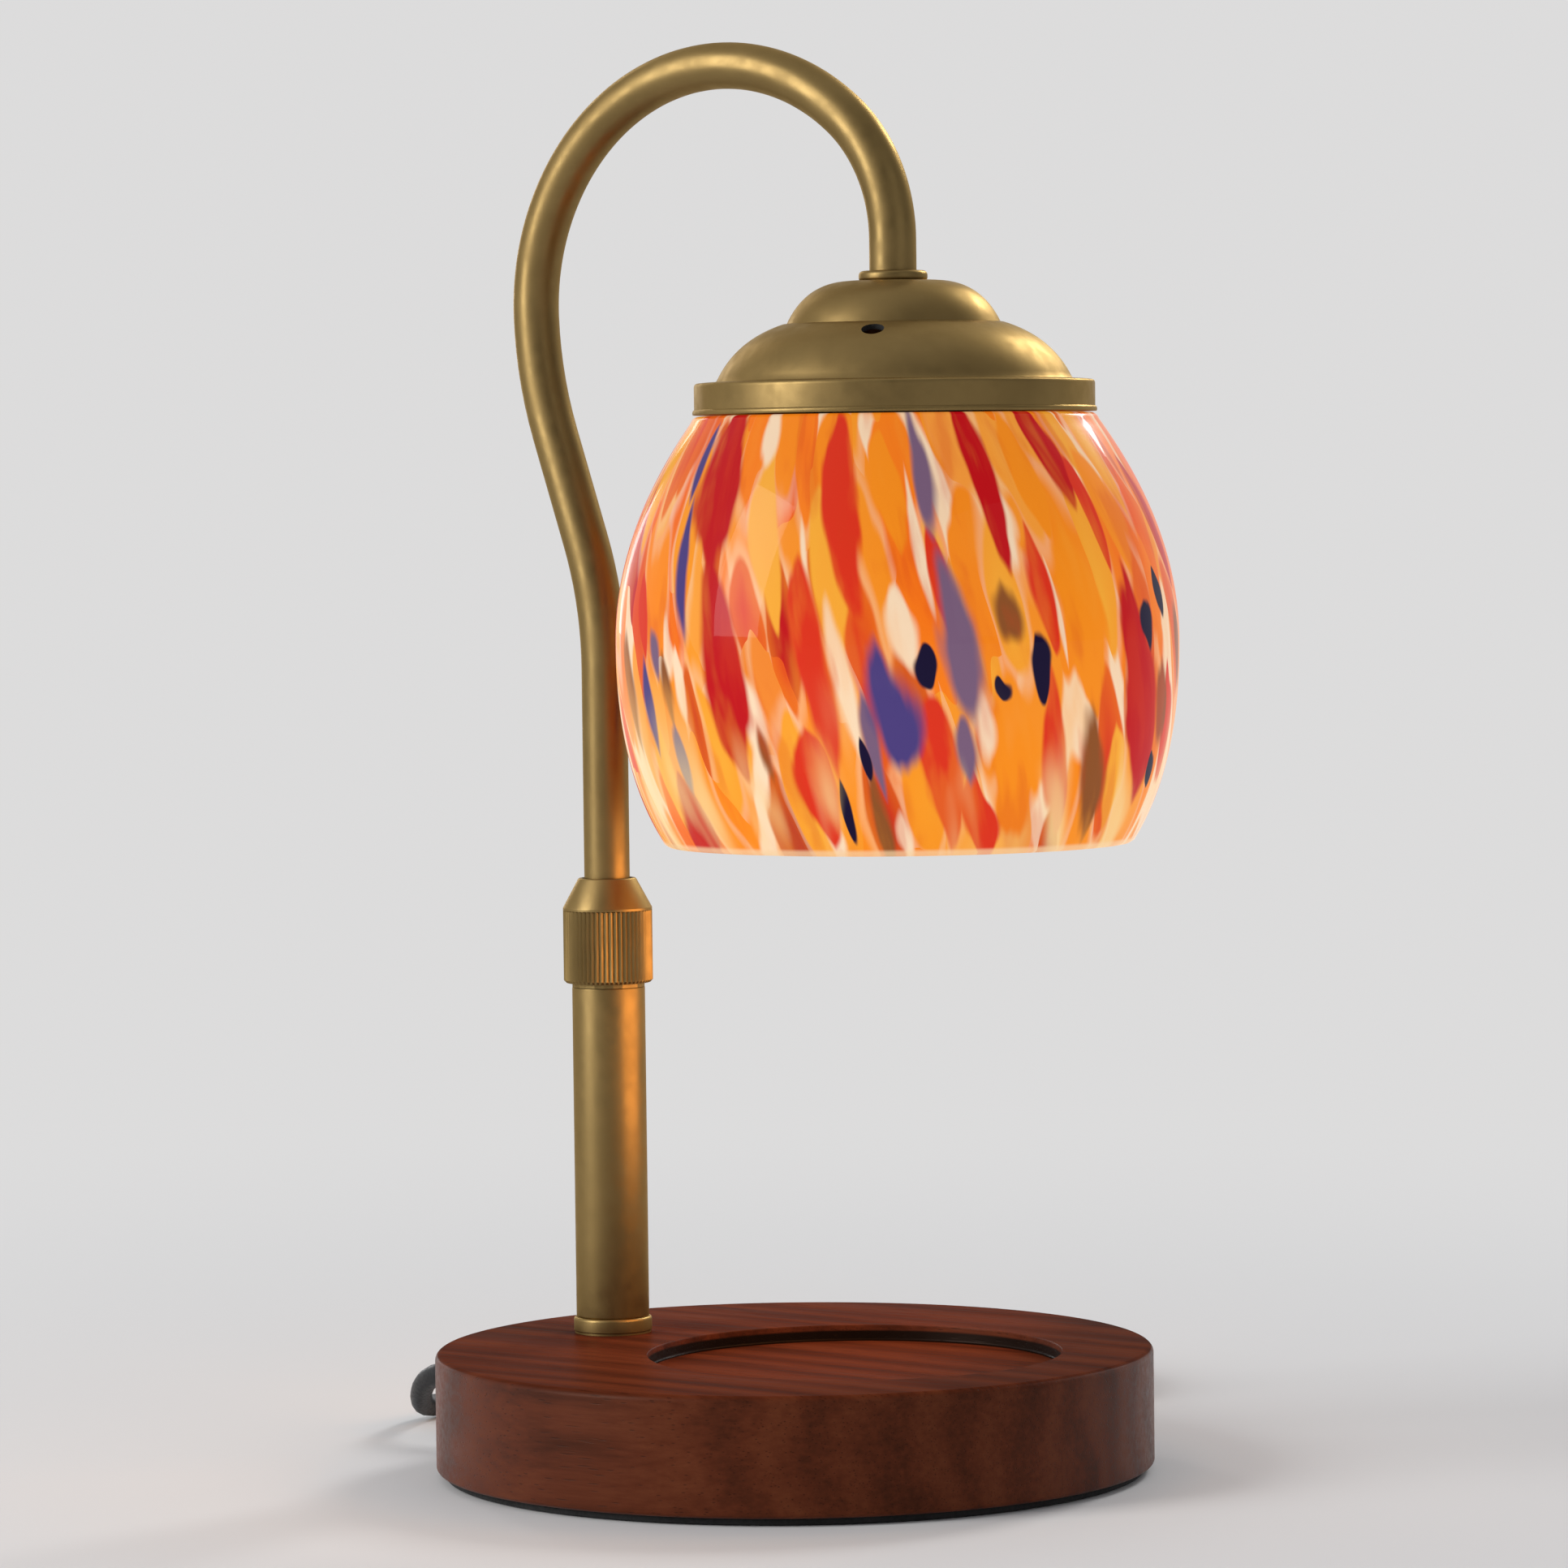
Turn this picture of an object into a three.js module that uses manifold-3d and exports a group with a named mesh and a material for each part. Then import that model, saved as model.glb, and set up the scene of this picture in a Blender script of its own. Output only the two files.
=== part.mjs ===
// A candle warmer: a table lamp whose glass shade hangs over a jar candle and melts it from above.
// Units are millimetres and +Z is up. The origin is the middle of the underside of the base pad.
// +X runs from the pole side of the base towards the shade. The arm and the shade stand on the line Y = 0.
import * as THREE from 'three';
import { mergeVertices } from 'three/addons/utils/BufferGeometryUtils.js';
import Module from 'manifold-3d';

const wasm = await Module();
wasm.setup();

// Clearances that all the pieces share.
const GAP = 0.3;
const OVERRUN = 2;

// Wooden base.
const BASE_R = 77.5;
const BASE_H = 25.2;
const BASE_ROUND = 1.4;
const BASE_CHAMFER = 0.8;
const PAD_R = 75.5;
const PAD_T = 1.5;
const RECESS_RIM = 17;
const RECESS_FROM_POLE = 20.8;
const RECESS_DEPTH = 3.5;
const POLE_INSET = 28.2;
const POCKET_R = 13;
const POCKET_ROOF = 8.2;

// Pole and the fixings under it.
const POLE_R = 8;
const POLE_WALL = 1.2;
const POLE_TOP = 103;
const FOOT_R = 8.6;
const FOOT_H = 3.6;
const FOOT_ROUND = 0.5;
const SPIGOT_H = 6;
const NIPPLE_R = 3.7;
const NIPPLE_BORE = 2.3;
const NIPPLE_BELOW_NUT = 1.5;
const WASHER_R = 9;
const WASHER_T = 1.2;
const NUT_FLATS = 13;
const NUT_T = 4;

// Slotted collet in the top of the pole, and the knurled nut that closes it.
const COLLET_SPIGOT_H = 6;
const COLLET_FLANGE_H = 0.9;
const COLLET_THREAD_H = 12.1;
const COLLET_SHOULDER_H = 2.5;
const COLLET_CONE_H = 4;
const COLLET_NECK_R = 7.2;
const COLLET_TIP_R = 6.2;
const COLLET_SLIT = 1;
const COLLET_SLITS = 2;
const COLLET_SLIT_DEPTH = 10;
const NUT_R = 9.8;
const NUT_SKIRT_H = 16.5;
const NUT_CONE_H = 6.5;
const NUT_TIP_R = 6.3;
const NUT_EDGE = 0.5;
const KNURL_DEPTH = 0.42;
const KNURL_RIDGES = 56;

// Gooseneck: a straight stem in the pole, then bends that lean it back and carry it over the candle.
const NECK_R = 5;
const NECK_WALL = 1;
const STEM_LOW = 56;
const STEM_TOP = 173;
const LEAN_BEND_R = 86;
const LEAN_ANGLE = 19;
const LEAN_RUN = 25;
const RISE_BEND_R = 88;
const RISE_ANGLE = 17;
const CROWN_BEND_R = 51;
const CROWN_ANGLE = 131.5;
const DROP_BEND_R = 35;
const DROP_RUN = 8.8;
const BUSH_R = 6.3;
const BUSH_H = 5.5;
const BUSH_LIFT = 0.6;

// Two-tier spun canopy over the shade.
const SHEET = 1.2;
const CROWN_FLAT_R = 9;
const CROWN_R = 22.7;
const CROWN_H = 9;
const CROWN_SHOULDER_R = 18.5;
const CREASE = 0.8;
const TIER_R = 37.6;
const TIER_H = 11.7;
const TIER_SHOULDER_R = 33.5;
const TIER_SHOULDER_DROP = 3.2;
const LEDGE_DROP = 0.6;
const BAND_R = 42.5;
const BAND_ROUND = 0.9;
const BAND_H = 6.7;
const BEAD = 0.45;
const VENT_R = 2.4;
const VENT_PLACE_R = 27;
const VENT_ANGLE = 56;
const VENTS = 3;
const SEAT_R = 7.3;
const SEAT_H = 2.1;
const SEAT_ROUND = 0.9;

// Fixings and lamp holder under the canopy.
const CANOPY_NIPPLE_R = 3.4;
const CANOPY_NIPPLE_BORE = 2.5;
const CANOPY_NIPPLE_UP = 9.5;
const CANOPY_WASHER_R = 7.6;
const CANOPY_WASHER_T = 1;
const STRAP_T = 1.2;
const STRAP_W = 10;
const STRAP_BEND = 2.2;
const STRAP_LEG = 13;
const LOCKNUT_FLATS = 11;
const LOCKNUT_T = 3.6;
const HOLDER_R = 11.8;
const HOLDER_FLANGE_R = 19;
const HOLDER_FLANGE_T = 1.6;
const HOLDER_THREAD_R = 14;
const HOLDER_THREAD_H = 10;
const HOLDER_TOP_ROUND = 1.5;
const HOLDER_HEADROOM = 1.7;
const GASKET_T = 1.3;
const STRAP_SCREW_R = 1.5;
const STRAP_SCREW_HEAD_R = 2.6;
const STRAP_SCREW_HEAD_T = 1.5;
const STRAP_SCREW_DEPTH = 5;
const STRAP_SCREW_RISE = 3.2;

// Glass shade, below the canopy's rim.
const GLASS_T = 3;
const FITTER_R = 14.5;
const SHADE_TOP_R = 43.3;
const SHADE_TOP_ROUND = 1.4;
const SHADE_BELLY_R = 59.8;
const SHADE_BELLY_DROP = 48;
const SHADE_MOUTH_R = 49.9;
const SHADE_MOUTH_DROP = 43;
const MOUTH_FLARE_RISE = 16.2;
const SHADE_RING_R = 19.5;
const SHADE_RING_H = 5;
const SHADE_RING_GRIPS = 18;
const SHADE_RING_GRIP_DEPTH = 0.8;

// Halogen reflector bulb with a two-pin twist base.
const PIN_PLACE_R = 5;
const PIN_R = 1.7;
const PIN_HEAD_R = 2.5;
const PIN_NECK = 3.6;
const PIN_HEAD = 3.5;
const BULB_TWIST = 30;
const SOCKET_RUN = 0.6;
const BULB_BASE_L = 23;
const BULB_BASE_W = 14;
const BULB_BASE_H = 8.5;
const REFLECTOR_NECK_R = 10.5;
const REFLECTOR_NECK_H = 4;
const REFLECTOR_R = 25;
const REFLECTOR_H = 34;
const REFLECTOR_RIM = 2;
const REFLECTOR_WALL = 1.2;
const LENS_T = 2;
const LENS_BULGE = 1.2;
const CAPSULE_R = 4;
const CAPSULE_H = 16;

// Leads inside the lamp.
const ARM_LEAD_R = 1.9;
const BASE_LEAD_R = 1.6;
const LEAD_SHARES = [1 / 3, 2 / 3];

// Strain relief where the cord leaves the base.
const CORD_D = 5;
const CORD_EXIT_Z = 14;
const RELIEF_SHANK_R = 3.4;
const RELIEF_SHANK = 8;
const RELIEF_COLLAR_R = 5.2;
const RELIEF_COLLAR = 2.2;
const RELIEF_ROOT_R = 4.3;
const RELIEF_TIP_R = 3.1;
const RELIEF_TAIL = 12.9;
const RELIEF_RIBS = 4;
const RELIEF_RIB = 1.6;
const RELIEF_WAIST = 0.6;

// Stored cord: a coil of two layers that spirals in below and out again above.
const COIL_X = -43;
const COIL_Y = 117.1;
const COIL_OUTER = 41.9;
const COIL_PITCH = 5.5;
const COIL_RISE = 5.5;
const COIL_TURNS = 8.589;
const COIL_START = -76;
const COIL_STEPS = 24;
const COIL_SIDES = 6;
const STEP_SHARES = [0, 1 / 3, 2 / 3];
const TIE_T = 0.8;
const TIE_W = 6;
const TIE_SLACK = 0.6;
const TIE_ANGLE = 120;

// Dimmer switch on the cord.
const SWITCH_X = -83.1;
const SWITCH_Y = 57.5;
const SWITCH_HEADING = 26;
const SWITCH_L = 46;
const SWITCH_W = 20;
const SWITCH_H = 11;
const SWITCH_NOSE_W = 9;
const SWITCH_BODY_SHARE = 0.55;
const SWITCH_ROUND = 1.5;
const WHEEL_R = 9;
const WHEEL_T = 4;
const WHEEL_PROUD = 2.4;
const WHEEL_RIDGES = 24;
const WHEEL_RIDGE = 0.5;
const WHEEL_PIN_R = 1.4;
const WHEEL_PIN_WALL = 1.6;

// Mains plug with two flat blades.
const PLUG_X = -90.8;
const PLUG_Y = 127.9;
const PLUG_HEADING = 226;
const PLUG_W = 22;
const PLUG_H = 13;
const PLUG_L = 20;
const PLUG_ROUND = 1.2;
const PLUG_CORNER = 3;
const PLUG_TAIL = 13;
const PLUG_TAIL_R = 3.2;
const PLUG_TAIL_ROOT_R = 5.6;
const PLUG_TAIL_RIBS = 3;
const PLUG_AXIS_Z = 6.5;
const BLADE_W = 6.3;
const BLADE_T = 1.5;
const BLADE_OUT = 16.5;
const BLADE_IN = 5;
const BLADE_SPACING = 12.7;
const BLADE_HOLE_R = 1.5;
const BLADE_HOLE_BACK = 4;

// Free stretches of the cord, as points on their centre lines.
const CORD_ROUTES = {
  cord_run_1: [
    [-92.9, 0, 14], [-97, 0.3, 14], [-101, 1.5, 13.2], [-105, 3.4, 11.6], [-108.5, 5.9, 9.4],
    [-111.6, 9, 7], [-114.1, 12.4, 4.9], [-116.2, 16.3, 3.5], [-117.5, 20.7, 2.8], [-117.9, 25.2, 2.7],
    [-117.3, 30, 2.8], [-115.6, 35, 3.2], [-113, 39.5, 4], [-109.6, 43.4, 4.9], [-106.6, 45.6, 5.4],
    [-103.9, 47.2, 5.5],
  ],
  cord_run_2: [
    [-62.2, 67.7, 5.5], [-59.6, 69, 5.4], [-56.6, 70.4, 5.1], [-52.4, 71.8, 4.6], [-48.2, 72.9, 4],
    [-43.6, 74.1, 3.7], [-40.6, 74.8, 3.6], [-38.1, 75.4, 3.6],
  ],
  cord_run_3: [
    [-77.1, 142.6, 9.1], [-79.2, 140.4, 8.9], [-82.4, 136.8, 8.3], [-85.6, 133.2, 7.4], [-88.2, 130.6, 6.7],
    [-90.6, 128.1, 6.5],
  ],
};
const CORD_SIDES = 8;
const CORD_STEP_SHARE = 2.4;

// How finely round shapes are divided.
const LARGE_ROUND = 48;
const MEDIUM_ROUND = 36;
const SMALL_ROUND = 24;
const TINY_ROUND = 12;
const ARC_STEPS = 4;
const STRAP_STEPS = 3;
const MITRE_SHARE = 1 / 2;
const NECK_SIDES = 16;
const NECK_BORE_SIDES = 8;
const NECK_STEPS = 50;
const LEAD_STEPS = 40;
const LEAD_SIDES = 6;

// Finishes.
const WOOD = { color: 0x4a2a1c, roughness: 0.38, metalness: 0 };
const FELT = { color: 0x141312, roughness: 0.95, metalness: 0 };
const BRASS = { color: 0x8a7442, roughness: 0.34, metalness: 0.95 };
const STEEL = { color: 0x9c9c9a, roughness: 0.4, metalness: 1 };
const GLASS = { color: 0xf07818, roughness: 0.12, metalness: 0 };
const CLEAR_GLASS = { color: 0xfff1d6, roughness: 0.05, metalness: 0 };
const MIRROR = { color: 0xd8d2c4, roughness: 0.12, metalness: 1 };
const CERAMIC = { color: 0xe9e4d8, roughness: 0.5, metalness: 0 };
const SILICONE = { color: 0xb9b2a4, roughness: 0.7, metalness: 0 };
const NYLON = { color: 0xd9d5c8, roughness: 0.5, metalness: 0 };
const BLACK_PLASTIC = { color: 0x161616, roughness: 0.45, metalness: 0 };
const BLACK_RUBBER = { color: 0x121212, roughness: 0.6, metalness: 0 };
const NICKEL = { color: 0xc2bfb6, roughness: 0.25, metalness: 1 };

const FULL_TURN = 360;
const radians = THREE.MathUtils.degToRad;

// Drops everything but the points, welds them, removes collapsed faces and turns the faces outwards.
function closed(geometry) {
  const bare = geometry.clone();
  bare.deleteAttribute('normal');
  bare.deleteAttribute('uv');
  bare.clearGroups();
  const welded = mergeVertices(bare);
  const index = welded.index.array;
  const at = (i) => new THREE.Vector3().fromBufferAttribute(welded.attributes.position, i);
  const kept = [];
  let volume = 0;
  for (let i = 0; i < index.length; i += 3) {
    const [a, b, c] = [index[i], index[i + 1], index[i + 2]];
    if (a === b || b === c || c === a) continue;
    kept.push(a, b, c);
    volume += at(a).dot(at(b).cross(at(c)));
  }
  if (volume < 0) kept.reverse();
  welded.setIndex(kept);
  return welded;
}

function toSolid(geometry) {
  const body = closed(geometry);
  return new wasm.Manifold(new wasm.Mesh({
    numProp: 3,
    vertProperties: new Float32Array(body.attributes.position.array),
    triVerts: new Uint32Array(body.index.array),
  }));
}

function toGeometry(solid) {
  const mesh = solid.getMesh();
  const geometry = new THREE.BufferGeometry();
  geometry.setAttribute('position', new THREE.BufferAttribute(new Float32Array(mesh.vertProperties), 3));
  geometry.setIndex(new THREE.BufferAttribute(new Uint32Array(mesh.triVerts), 1));
  return geometry;
}

const combine = (method, first, others) => toGeometry(
  others.reduce((solid, other) => solid[method](toSolid(other)), toSolid(first)));
const cut = (first, ...others) => combine('subtract', first, others);
const join = (first, ...others) => combine('add', first, others);
const common = (first, ...others) => combine('intersect', first, others);

// Revolves a closed or axis-to-axis outline of [radius, height] pairs about Z.
function turned(outline, sides) {
  const points = outline.map(([radius, height]) => new THREE.Vector2(radius, height));
  return closed(new THREE.LatheGeometry(points, sides).rotateX(Math.PI / 2));
}

// A washer-like solid between two heights, with square edges.
function ring(outer, inner, low, high, sides) {
  return turned([[inner, low], [outer, low], [outer, high], [inner, high], [inner, low]], sides);
}

function drum(radius, low, high, sides) {
  return new THREE.CylinderGeometry(radius, radius, high - low, sides)
    .rotateX(Math.PI / 2)
    .translate(0, 0, (low + high) / 2);
}

function block(lengthX, lengthY, low, high) {
  return new THREE.BoxGeometry(lengthX, lengthY, high - low).translate(0, 0, (low + high) / 2);
}

// Extrudes a shape drawn in XY between two heights.
function pressed(shape, low, high, curveSegments = SMALL_ROUND) {
  return new THREE.ExtrudeGeometry(shape, { depth: high - low, bevelEnabled: false, curveSegments })
    .translate(0, 0, low);
}

// The same, with its top and bottom edges rounded over.
function pressedRound(shape, low, high, round) {
  const settings = {
    depth: high - low - 2 * round,
    bevelThickness: round,
    bevelSize: round,
    bevelOffset: -round,
    bevelSegments: 1,
    curveSegments: ARC_STEPS,
  };
  return new THREE.ExtrudeGeometry(shape, settings).translate(0, 0, low + round);
}

const ringPoints = (radius, count) => Array.from({ length: count }, (_, i) => new THREE.Vector2(
  radius * Math.cos(2 * Math.PI * i / count), radius * Math.sin(2 * Math.PI * i / count)));

function circleShape(radius, bore = 0) {
  const shape = new THREE.Shape().absarc(0, 0, radius, 0, 2 * Math.PI);
  if (bore > 0) shape.holes.push(new THREE.Path(ringPoints(bore, NECK_BORE_SIDES).reverse()));
  return shape;
}

// A round outline with straight ridges between a high and a low radius.
function ridgedShape(ridges, high, low) {
  const shape = new THREE.Shape();
  for (let i = 0; i < 2 * ridges; i += 1) {
    const radius = i % 2 ? low : high;
    const angle = Math.PI * i / ridges;
    const [x, y] = [radius * Math.cos(angle), radius * Math.sin(angle)];
    if (i === 0) shape.moveTo(x, y);
    else shape.lineTo(x, y);
  }
  return shape;
}

const hexShape = (flats) => new THREE.Shape(ringPoints(flats / Math.sqrt(3), 6));

// Points of a quarter-round corner between two directions, as [radius, height] pairs.
function corner(centreR, centreZ, round, from, to, steps = ARC_STEPS) {
  return Array.from({ length: steps + 1 }, (_, i) => {
    const angle = radians(from + (to - from) * i / steps);
    return [centreR + round * Math.cos(angle), centreZ + round * Math.sin(angle)];
  });
}

// Moves an open outline sideways by a wall thickness, towards the right of its direction.
// At a sharp corner the move is at most the wall over the least mitre share.
function inset(points, wall) {
  const normal = (a, b) => {
    const along = new THREE.Vector2(b[0] - a[0], b[1] - a[1]).normalize();
    return new THREE.Vector2(along.y, -along.x);
  };
  return points.map((point, i) => {
    const before = i > 0 ? normal(points[i - 1], point) : normal(point, points[1]);
    const after = i < points.length - 1 ? normal(point, points[i + 1]) : before;
    const middle = before.clone().add(after).normalize();
    const reach = wall / Math.max(middle.dot(after), MITRE_SHARE);
    return [point[0] + middle.x * reach, point[1] + middle.y * reach];
  });
}

// A wall of even thickness under an open outline, closed at both ends.
function shellOutline(outer, wall) {
  const inner = inset(outer, wall).reverse();
  return [...outer, ...inner, outer[0]];
}

// A circular bend in the XZ plane. Headings are degrees from +Z towards +X.
class Bend extends THREE.Curve {
  constructor(start, heading, radius, turn) {
    super();
    this.start = start;
    this.heading = heading;
    this.radius = radius;
    this.turn = turn;
  }

  getPoint(t, target = new THREE.Vector3()) {
    const side = Math.sign(this.turn);
    const from = radians(this.heading);
    const now = radians(this.heading + this.turn * t);
    return target.set(
      this.start.x + side * this.radius * (Math.cos(from) - Math.cos(now)),
      this.start.y,
      this.start.z + side * this.radius * (Math.sin(now) - Math.sin(from)));
  }
}

// The centre line of the gooseneck from a height in the pole to a length past its last straight run.
function neckLine(low, extra) {
  const line = new THREE.CurvePath();
  let at = new THREE.Vector3(POLE_X, 0, low);
  let heading = 0;
  const run = (length) => {
    const to = new THREE.Vector3(Math.sin(radians(heading)), 0, Math.cos(radians(heading)))
      .multiplyScalar(length)
      .add(at);
    line.add(new THREE.LineCurve3(at, to));
    at = to;
  };
  const bend = (radius, turn) => {
    const curve = new Bend(at, heading, radius, turn);
    line.add(curve);
    at = curve.getPoint(1);
    heading += turn;
  };
  run(STEM_TOP - low);
  bend(LEAN_BEND_R, -LEAN_ANGLE);
  run(LEAN_RUN);
  bend(RISE_BEND_R, RISE_ANGLE);
  bend(CROWN_BEND_R, CROWN_ANGLE);
  bend(DROP_BEND_R, 180 - heading);
  run(DROP_RUN + extra);
  return { line, end: at };
}

function tube(line, radius, bore, sides, steps) {
  return new THREE.ExtrudeGeometry(circleShape(radius, bore), {
    extrudePath: line,
    steps,
    bevelEnabled: false,
    curveSegments: sides / 2,
  });
}

const lamp = new THREE.Group();
lamp.name = 'candle_warmer';

function place(name, geometry, finish, parent = lamp) {
  const mesh = new THREE.Mesh(closed(geometry), new THREE.MeshStandardMaterial(finish));
  mesh.name = name;
  parent.add(mesh);
  return mesh;
}

// Places and heights that several pieces meet at.
const POLE_X = POLE_INSET - BASE_R;
const RECESS_R = (2 * BASE_R - POLE_INSET - RECESS_FROM_POLE - RECESS_RIM) / 2;
const RECESS_X = BASE_R - RECESS_RIM - RECESS_R;
const woodTop = PAD_T + BASE_H;
const recessFloor = woodTop - RECESS_DEPTH;
const pocketTop = woodTop - POCKET_ROOF;
const footTop = woodTop + FOOT_H;
const poleBore = POLE_R - POLE_WALL;
const neckBore = NECK_R - NECK_WALL;
const washerLow = pocketTop - WASHER_T;
const baseNutLow = washerLow - NUT_T;
const nippleLow = baseNutLow - NIPPLE_BELOW_NUT;
const colletSeat = POLE_TOP + COLLET_FLANGE_H;
const threadTop = colletSeat + COLLET_THREAD_H;
const coneLow = threadTop + COLLET_SHOULDER_H;
const coneTop = coneLow + COLLET_CONE_H;
const headAt = neckLine(STEM_LOW, 0).end;

const pole = new THREE.Group();
pole.position.set(POLE_X, 0, 0);
lamp.add(pole);

const head = new THREE.Group();
head.position.copy(headAt);
lamp.add(head);

function buildBase() {
  const body = turned([
    [0, PAD_T],
    [BASE_R - BASE_CHAMFER, PAD_T],
    [BASE_R, PAD_T + BASE_CHAMFER],
    ...corner(BASE_R - BASE_ROUND, woodTop - BASE_ROUND, BASE_ROUND, 0, 90),
    [0, woodTop],
  ], LARGE_ROUND);
  const recess = drum(RECESS_R, recessFloor, woodTop + OVERRUN, LARGE_ROUND).translate(RECESS_X, 0, 0);
  const pocket = drum(POCKET_R, PAD_T - OVERRUN, pocketTop, SMALL_ROUND).translate(POLE_X, 0, 0);
  const poleHole = drum(NIPPLE_R + 2 * GAP, 0, woodTop + OVERRUN, TINY_ROUND).translate(POLE_X, 0, 0);
  const cordHole = drum(RELIEF_SHANK_R + GAP, POLE_X, BASE_R + OVERRUN, TINY_ROUND)
    .rotateY(-Math.PI / 2)
    .translate(0, 0, CORD_EXIT_Z);
  const shortHole = common(cordHole, block(BASE_R + OVERRUN + POLE_X, 2 * POCKET_R, 0, woodTop)
    .translate((POLE_X - BASE_R - OVERRUN) / 2, 0, 0));
  place('wood_base', cut(body, recess, pocket, poleHole, shortHole), WOOD);
  place('base_pad', drum(PAD_R, 0, PAD_T, LARGE_ROUND), FELT);
}

function buildPoleFoot() {
  place('foot_bush', turned([
    [NIPPLE_R + GAP, woodTop],
    [FOOT_R, woodTop],
    ...corner(FOOT_R - FOOT_ROUND, footTop - FOOT_ROUND, FOOT_ROUND, 0, 90, 2),
    [poleBore - GAP, footTop],
    [poleBore - GAP, footTop + SPIGOT_H],
    [NIPPLE_R + GAP, footTop + SPIGOT_H],
    [NIPPLE_R + GAP, woodTop],
  ], SMALL_ROUND), BRASS, pole);
  place('mounting_nipple', ring(NIPPLE_R, NIPPLE_BORE, nippleLow, footTop + SPIGOT_H - FOOT_ROUND, TINY_ROUND),
    STEEL, pole);
  place('base_washer', ring(WASHER_R, NIPPLE_R + GAP, washerLow, pocketTop, SMALL_ROUND), STEEL, pole);
  place('base_hex_nut', cut(
    pressed(hexShape(NUT_FLATS), baseNutLow, washerLow),
    drum(NIPPLE_R + GAP, baseNutLow - OVERRUN, washerLow + OVERRUN, TINY_ROUND)), STEEL, pole);
  place('lower_tube', ring(POLE_R, poleBore, footTop, POLE_TOP, SMALL_ROUND), BRASS, pole);
}

function buildCollet() {
  const bore = NECK_R + GAP;
  const body = turned([
    [bore, POLE_TOP - COLLET_SPIGOT_H],
    [poleBore - GAP, POLE_TOP - COLLET_SPIGOT_H],
    [poleBore - GAP, POLE_TOP],
    [POLE_R, POLE_TOP],
    [POLE_R, threadTop],
    [COLLET_NECK_R, threadTop],
    [COLLET_NECK_R, coneLow],
    [COLLET_TIP_R, coneTop],
    [bore, coneTop],
    [bore, POLE_TOP - COLLET_SPIGOT_H],
  ], SMALL_ROUND);
  const slits = Array.from({ length: COLLET_SLITS }, (_, i) => block(
    2 * (POLE_R + OVERRUN), COLLET_SLIT, coneTop - COLLET_SLIT_DEPTH, coneTop + OVERRUN)
    .rotateZ(Math.PI * i / COLLET_SLITS + Math.PI / 4));
  place('clamp_body', cut(body, ...slits), BRASS, pole);
}

// The nut's ridges run out where its cone comes down to the bottom of the knurl.
function buildClampNut() {
  const low = colletSeat;
  const skirtTop = low + NUT_SKIRT_H;
  const top = skirtTop + NUT_CONE_H;
  const spread = OVERRUN * (NUT_R - NUT_TIP_R) / NUT_CONE_H;
  const envelope = turned([
    [0, low],
    [NUT_R - NUT_EDGE, low],
    [NUT_R + OVERRUN, low + NUT_EDGE + OVERRUN],
    [NUT_R + spread, skirtTop - OVERRUN],
    [NUT_TIP_R, top],
    [0, top],
  ], KNURL_RIDGES);
  const knurl = pressed(ridgedShape(KNURL_RIDGES, NUT_R, NUT_R - KNURL_DEPTH), low, top);
  const slope = (COLLET_NECK_R - COLLET_TIP_R) / COLLET_CONE_H;
  const inside = turned([
    [0, low - OVERRUN],
    [POLE_R + GAP, low - OVERRUN],
    [POLE_R + GAP, threadTop + GAP],
    [COLLET_NECK_R + GAP, threadTop + GAP],
    [COLLET_NECK_R + GAP, coneLow + GAP],
    [COLLET_TIP_R + GAP + slope * GAP, coneTop],
    [COLLET_TIP_R + GAP, coneTop + GAP],
    [NECK_R + 2 * GAP, coneTop + GAP],
    [NECK_R + 2 * GAP, top + OVERRUN],
    [0, top + OVERRUN],
  ], SMALL_ROUND);
  place('clamp_nut', cut(common(envelope, knurl), inside), BRASS, pole);
}

function buildNeck() {
  place('gooseneck', tube(neckLine(STEM_LOW, 0).line, NECK_R, neckBore, NECK_SIDES, NECK_STEPS), BRASS);
  const bushLow = STEM_LOW + BUSH_LIFT;
  place('guide_bush', ring(BUSH_R, NECK_R + GAP, bushLow, bushLow + BUSH_H, SMALL_ROUND), NYLON, pole);
}

// Heights under the canopy's crown, measured in the head's own frame.
const crownLow = -CROWN_H;
const tierLow = crownLow - TIER_H;
const ledgeLow = tierLow - LEDGE_DROP;
const rimLow = ledgeLow - BAND_H;
const canopyWasherLow = -SHEET - CANOPY_WASHER_T;
const strapLow = canopyWasherLow - STRAP_T;
const locknutLow = strapLow - LOCKNUT_T;
const holderTop = locknutLow - HOLDER_HEADROOM;
const glassTop = rimLow - GAP;
const flangeLow = glassTop + GASKET_T;
const flangeTop = flangeLow + HOLDER_FLANGE_T;
const holderLow = flangeLow - HOLDER_THREAD_H;
const glassUnder = glassTop - GLASS_T;
const strapInside = HOLDER_R + GAP;
const strapFoot = strapLow - STRAP_LEG;
const strapScrewZ = strapFoot + STRAP_SCREW_RISE;

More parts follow.
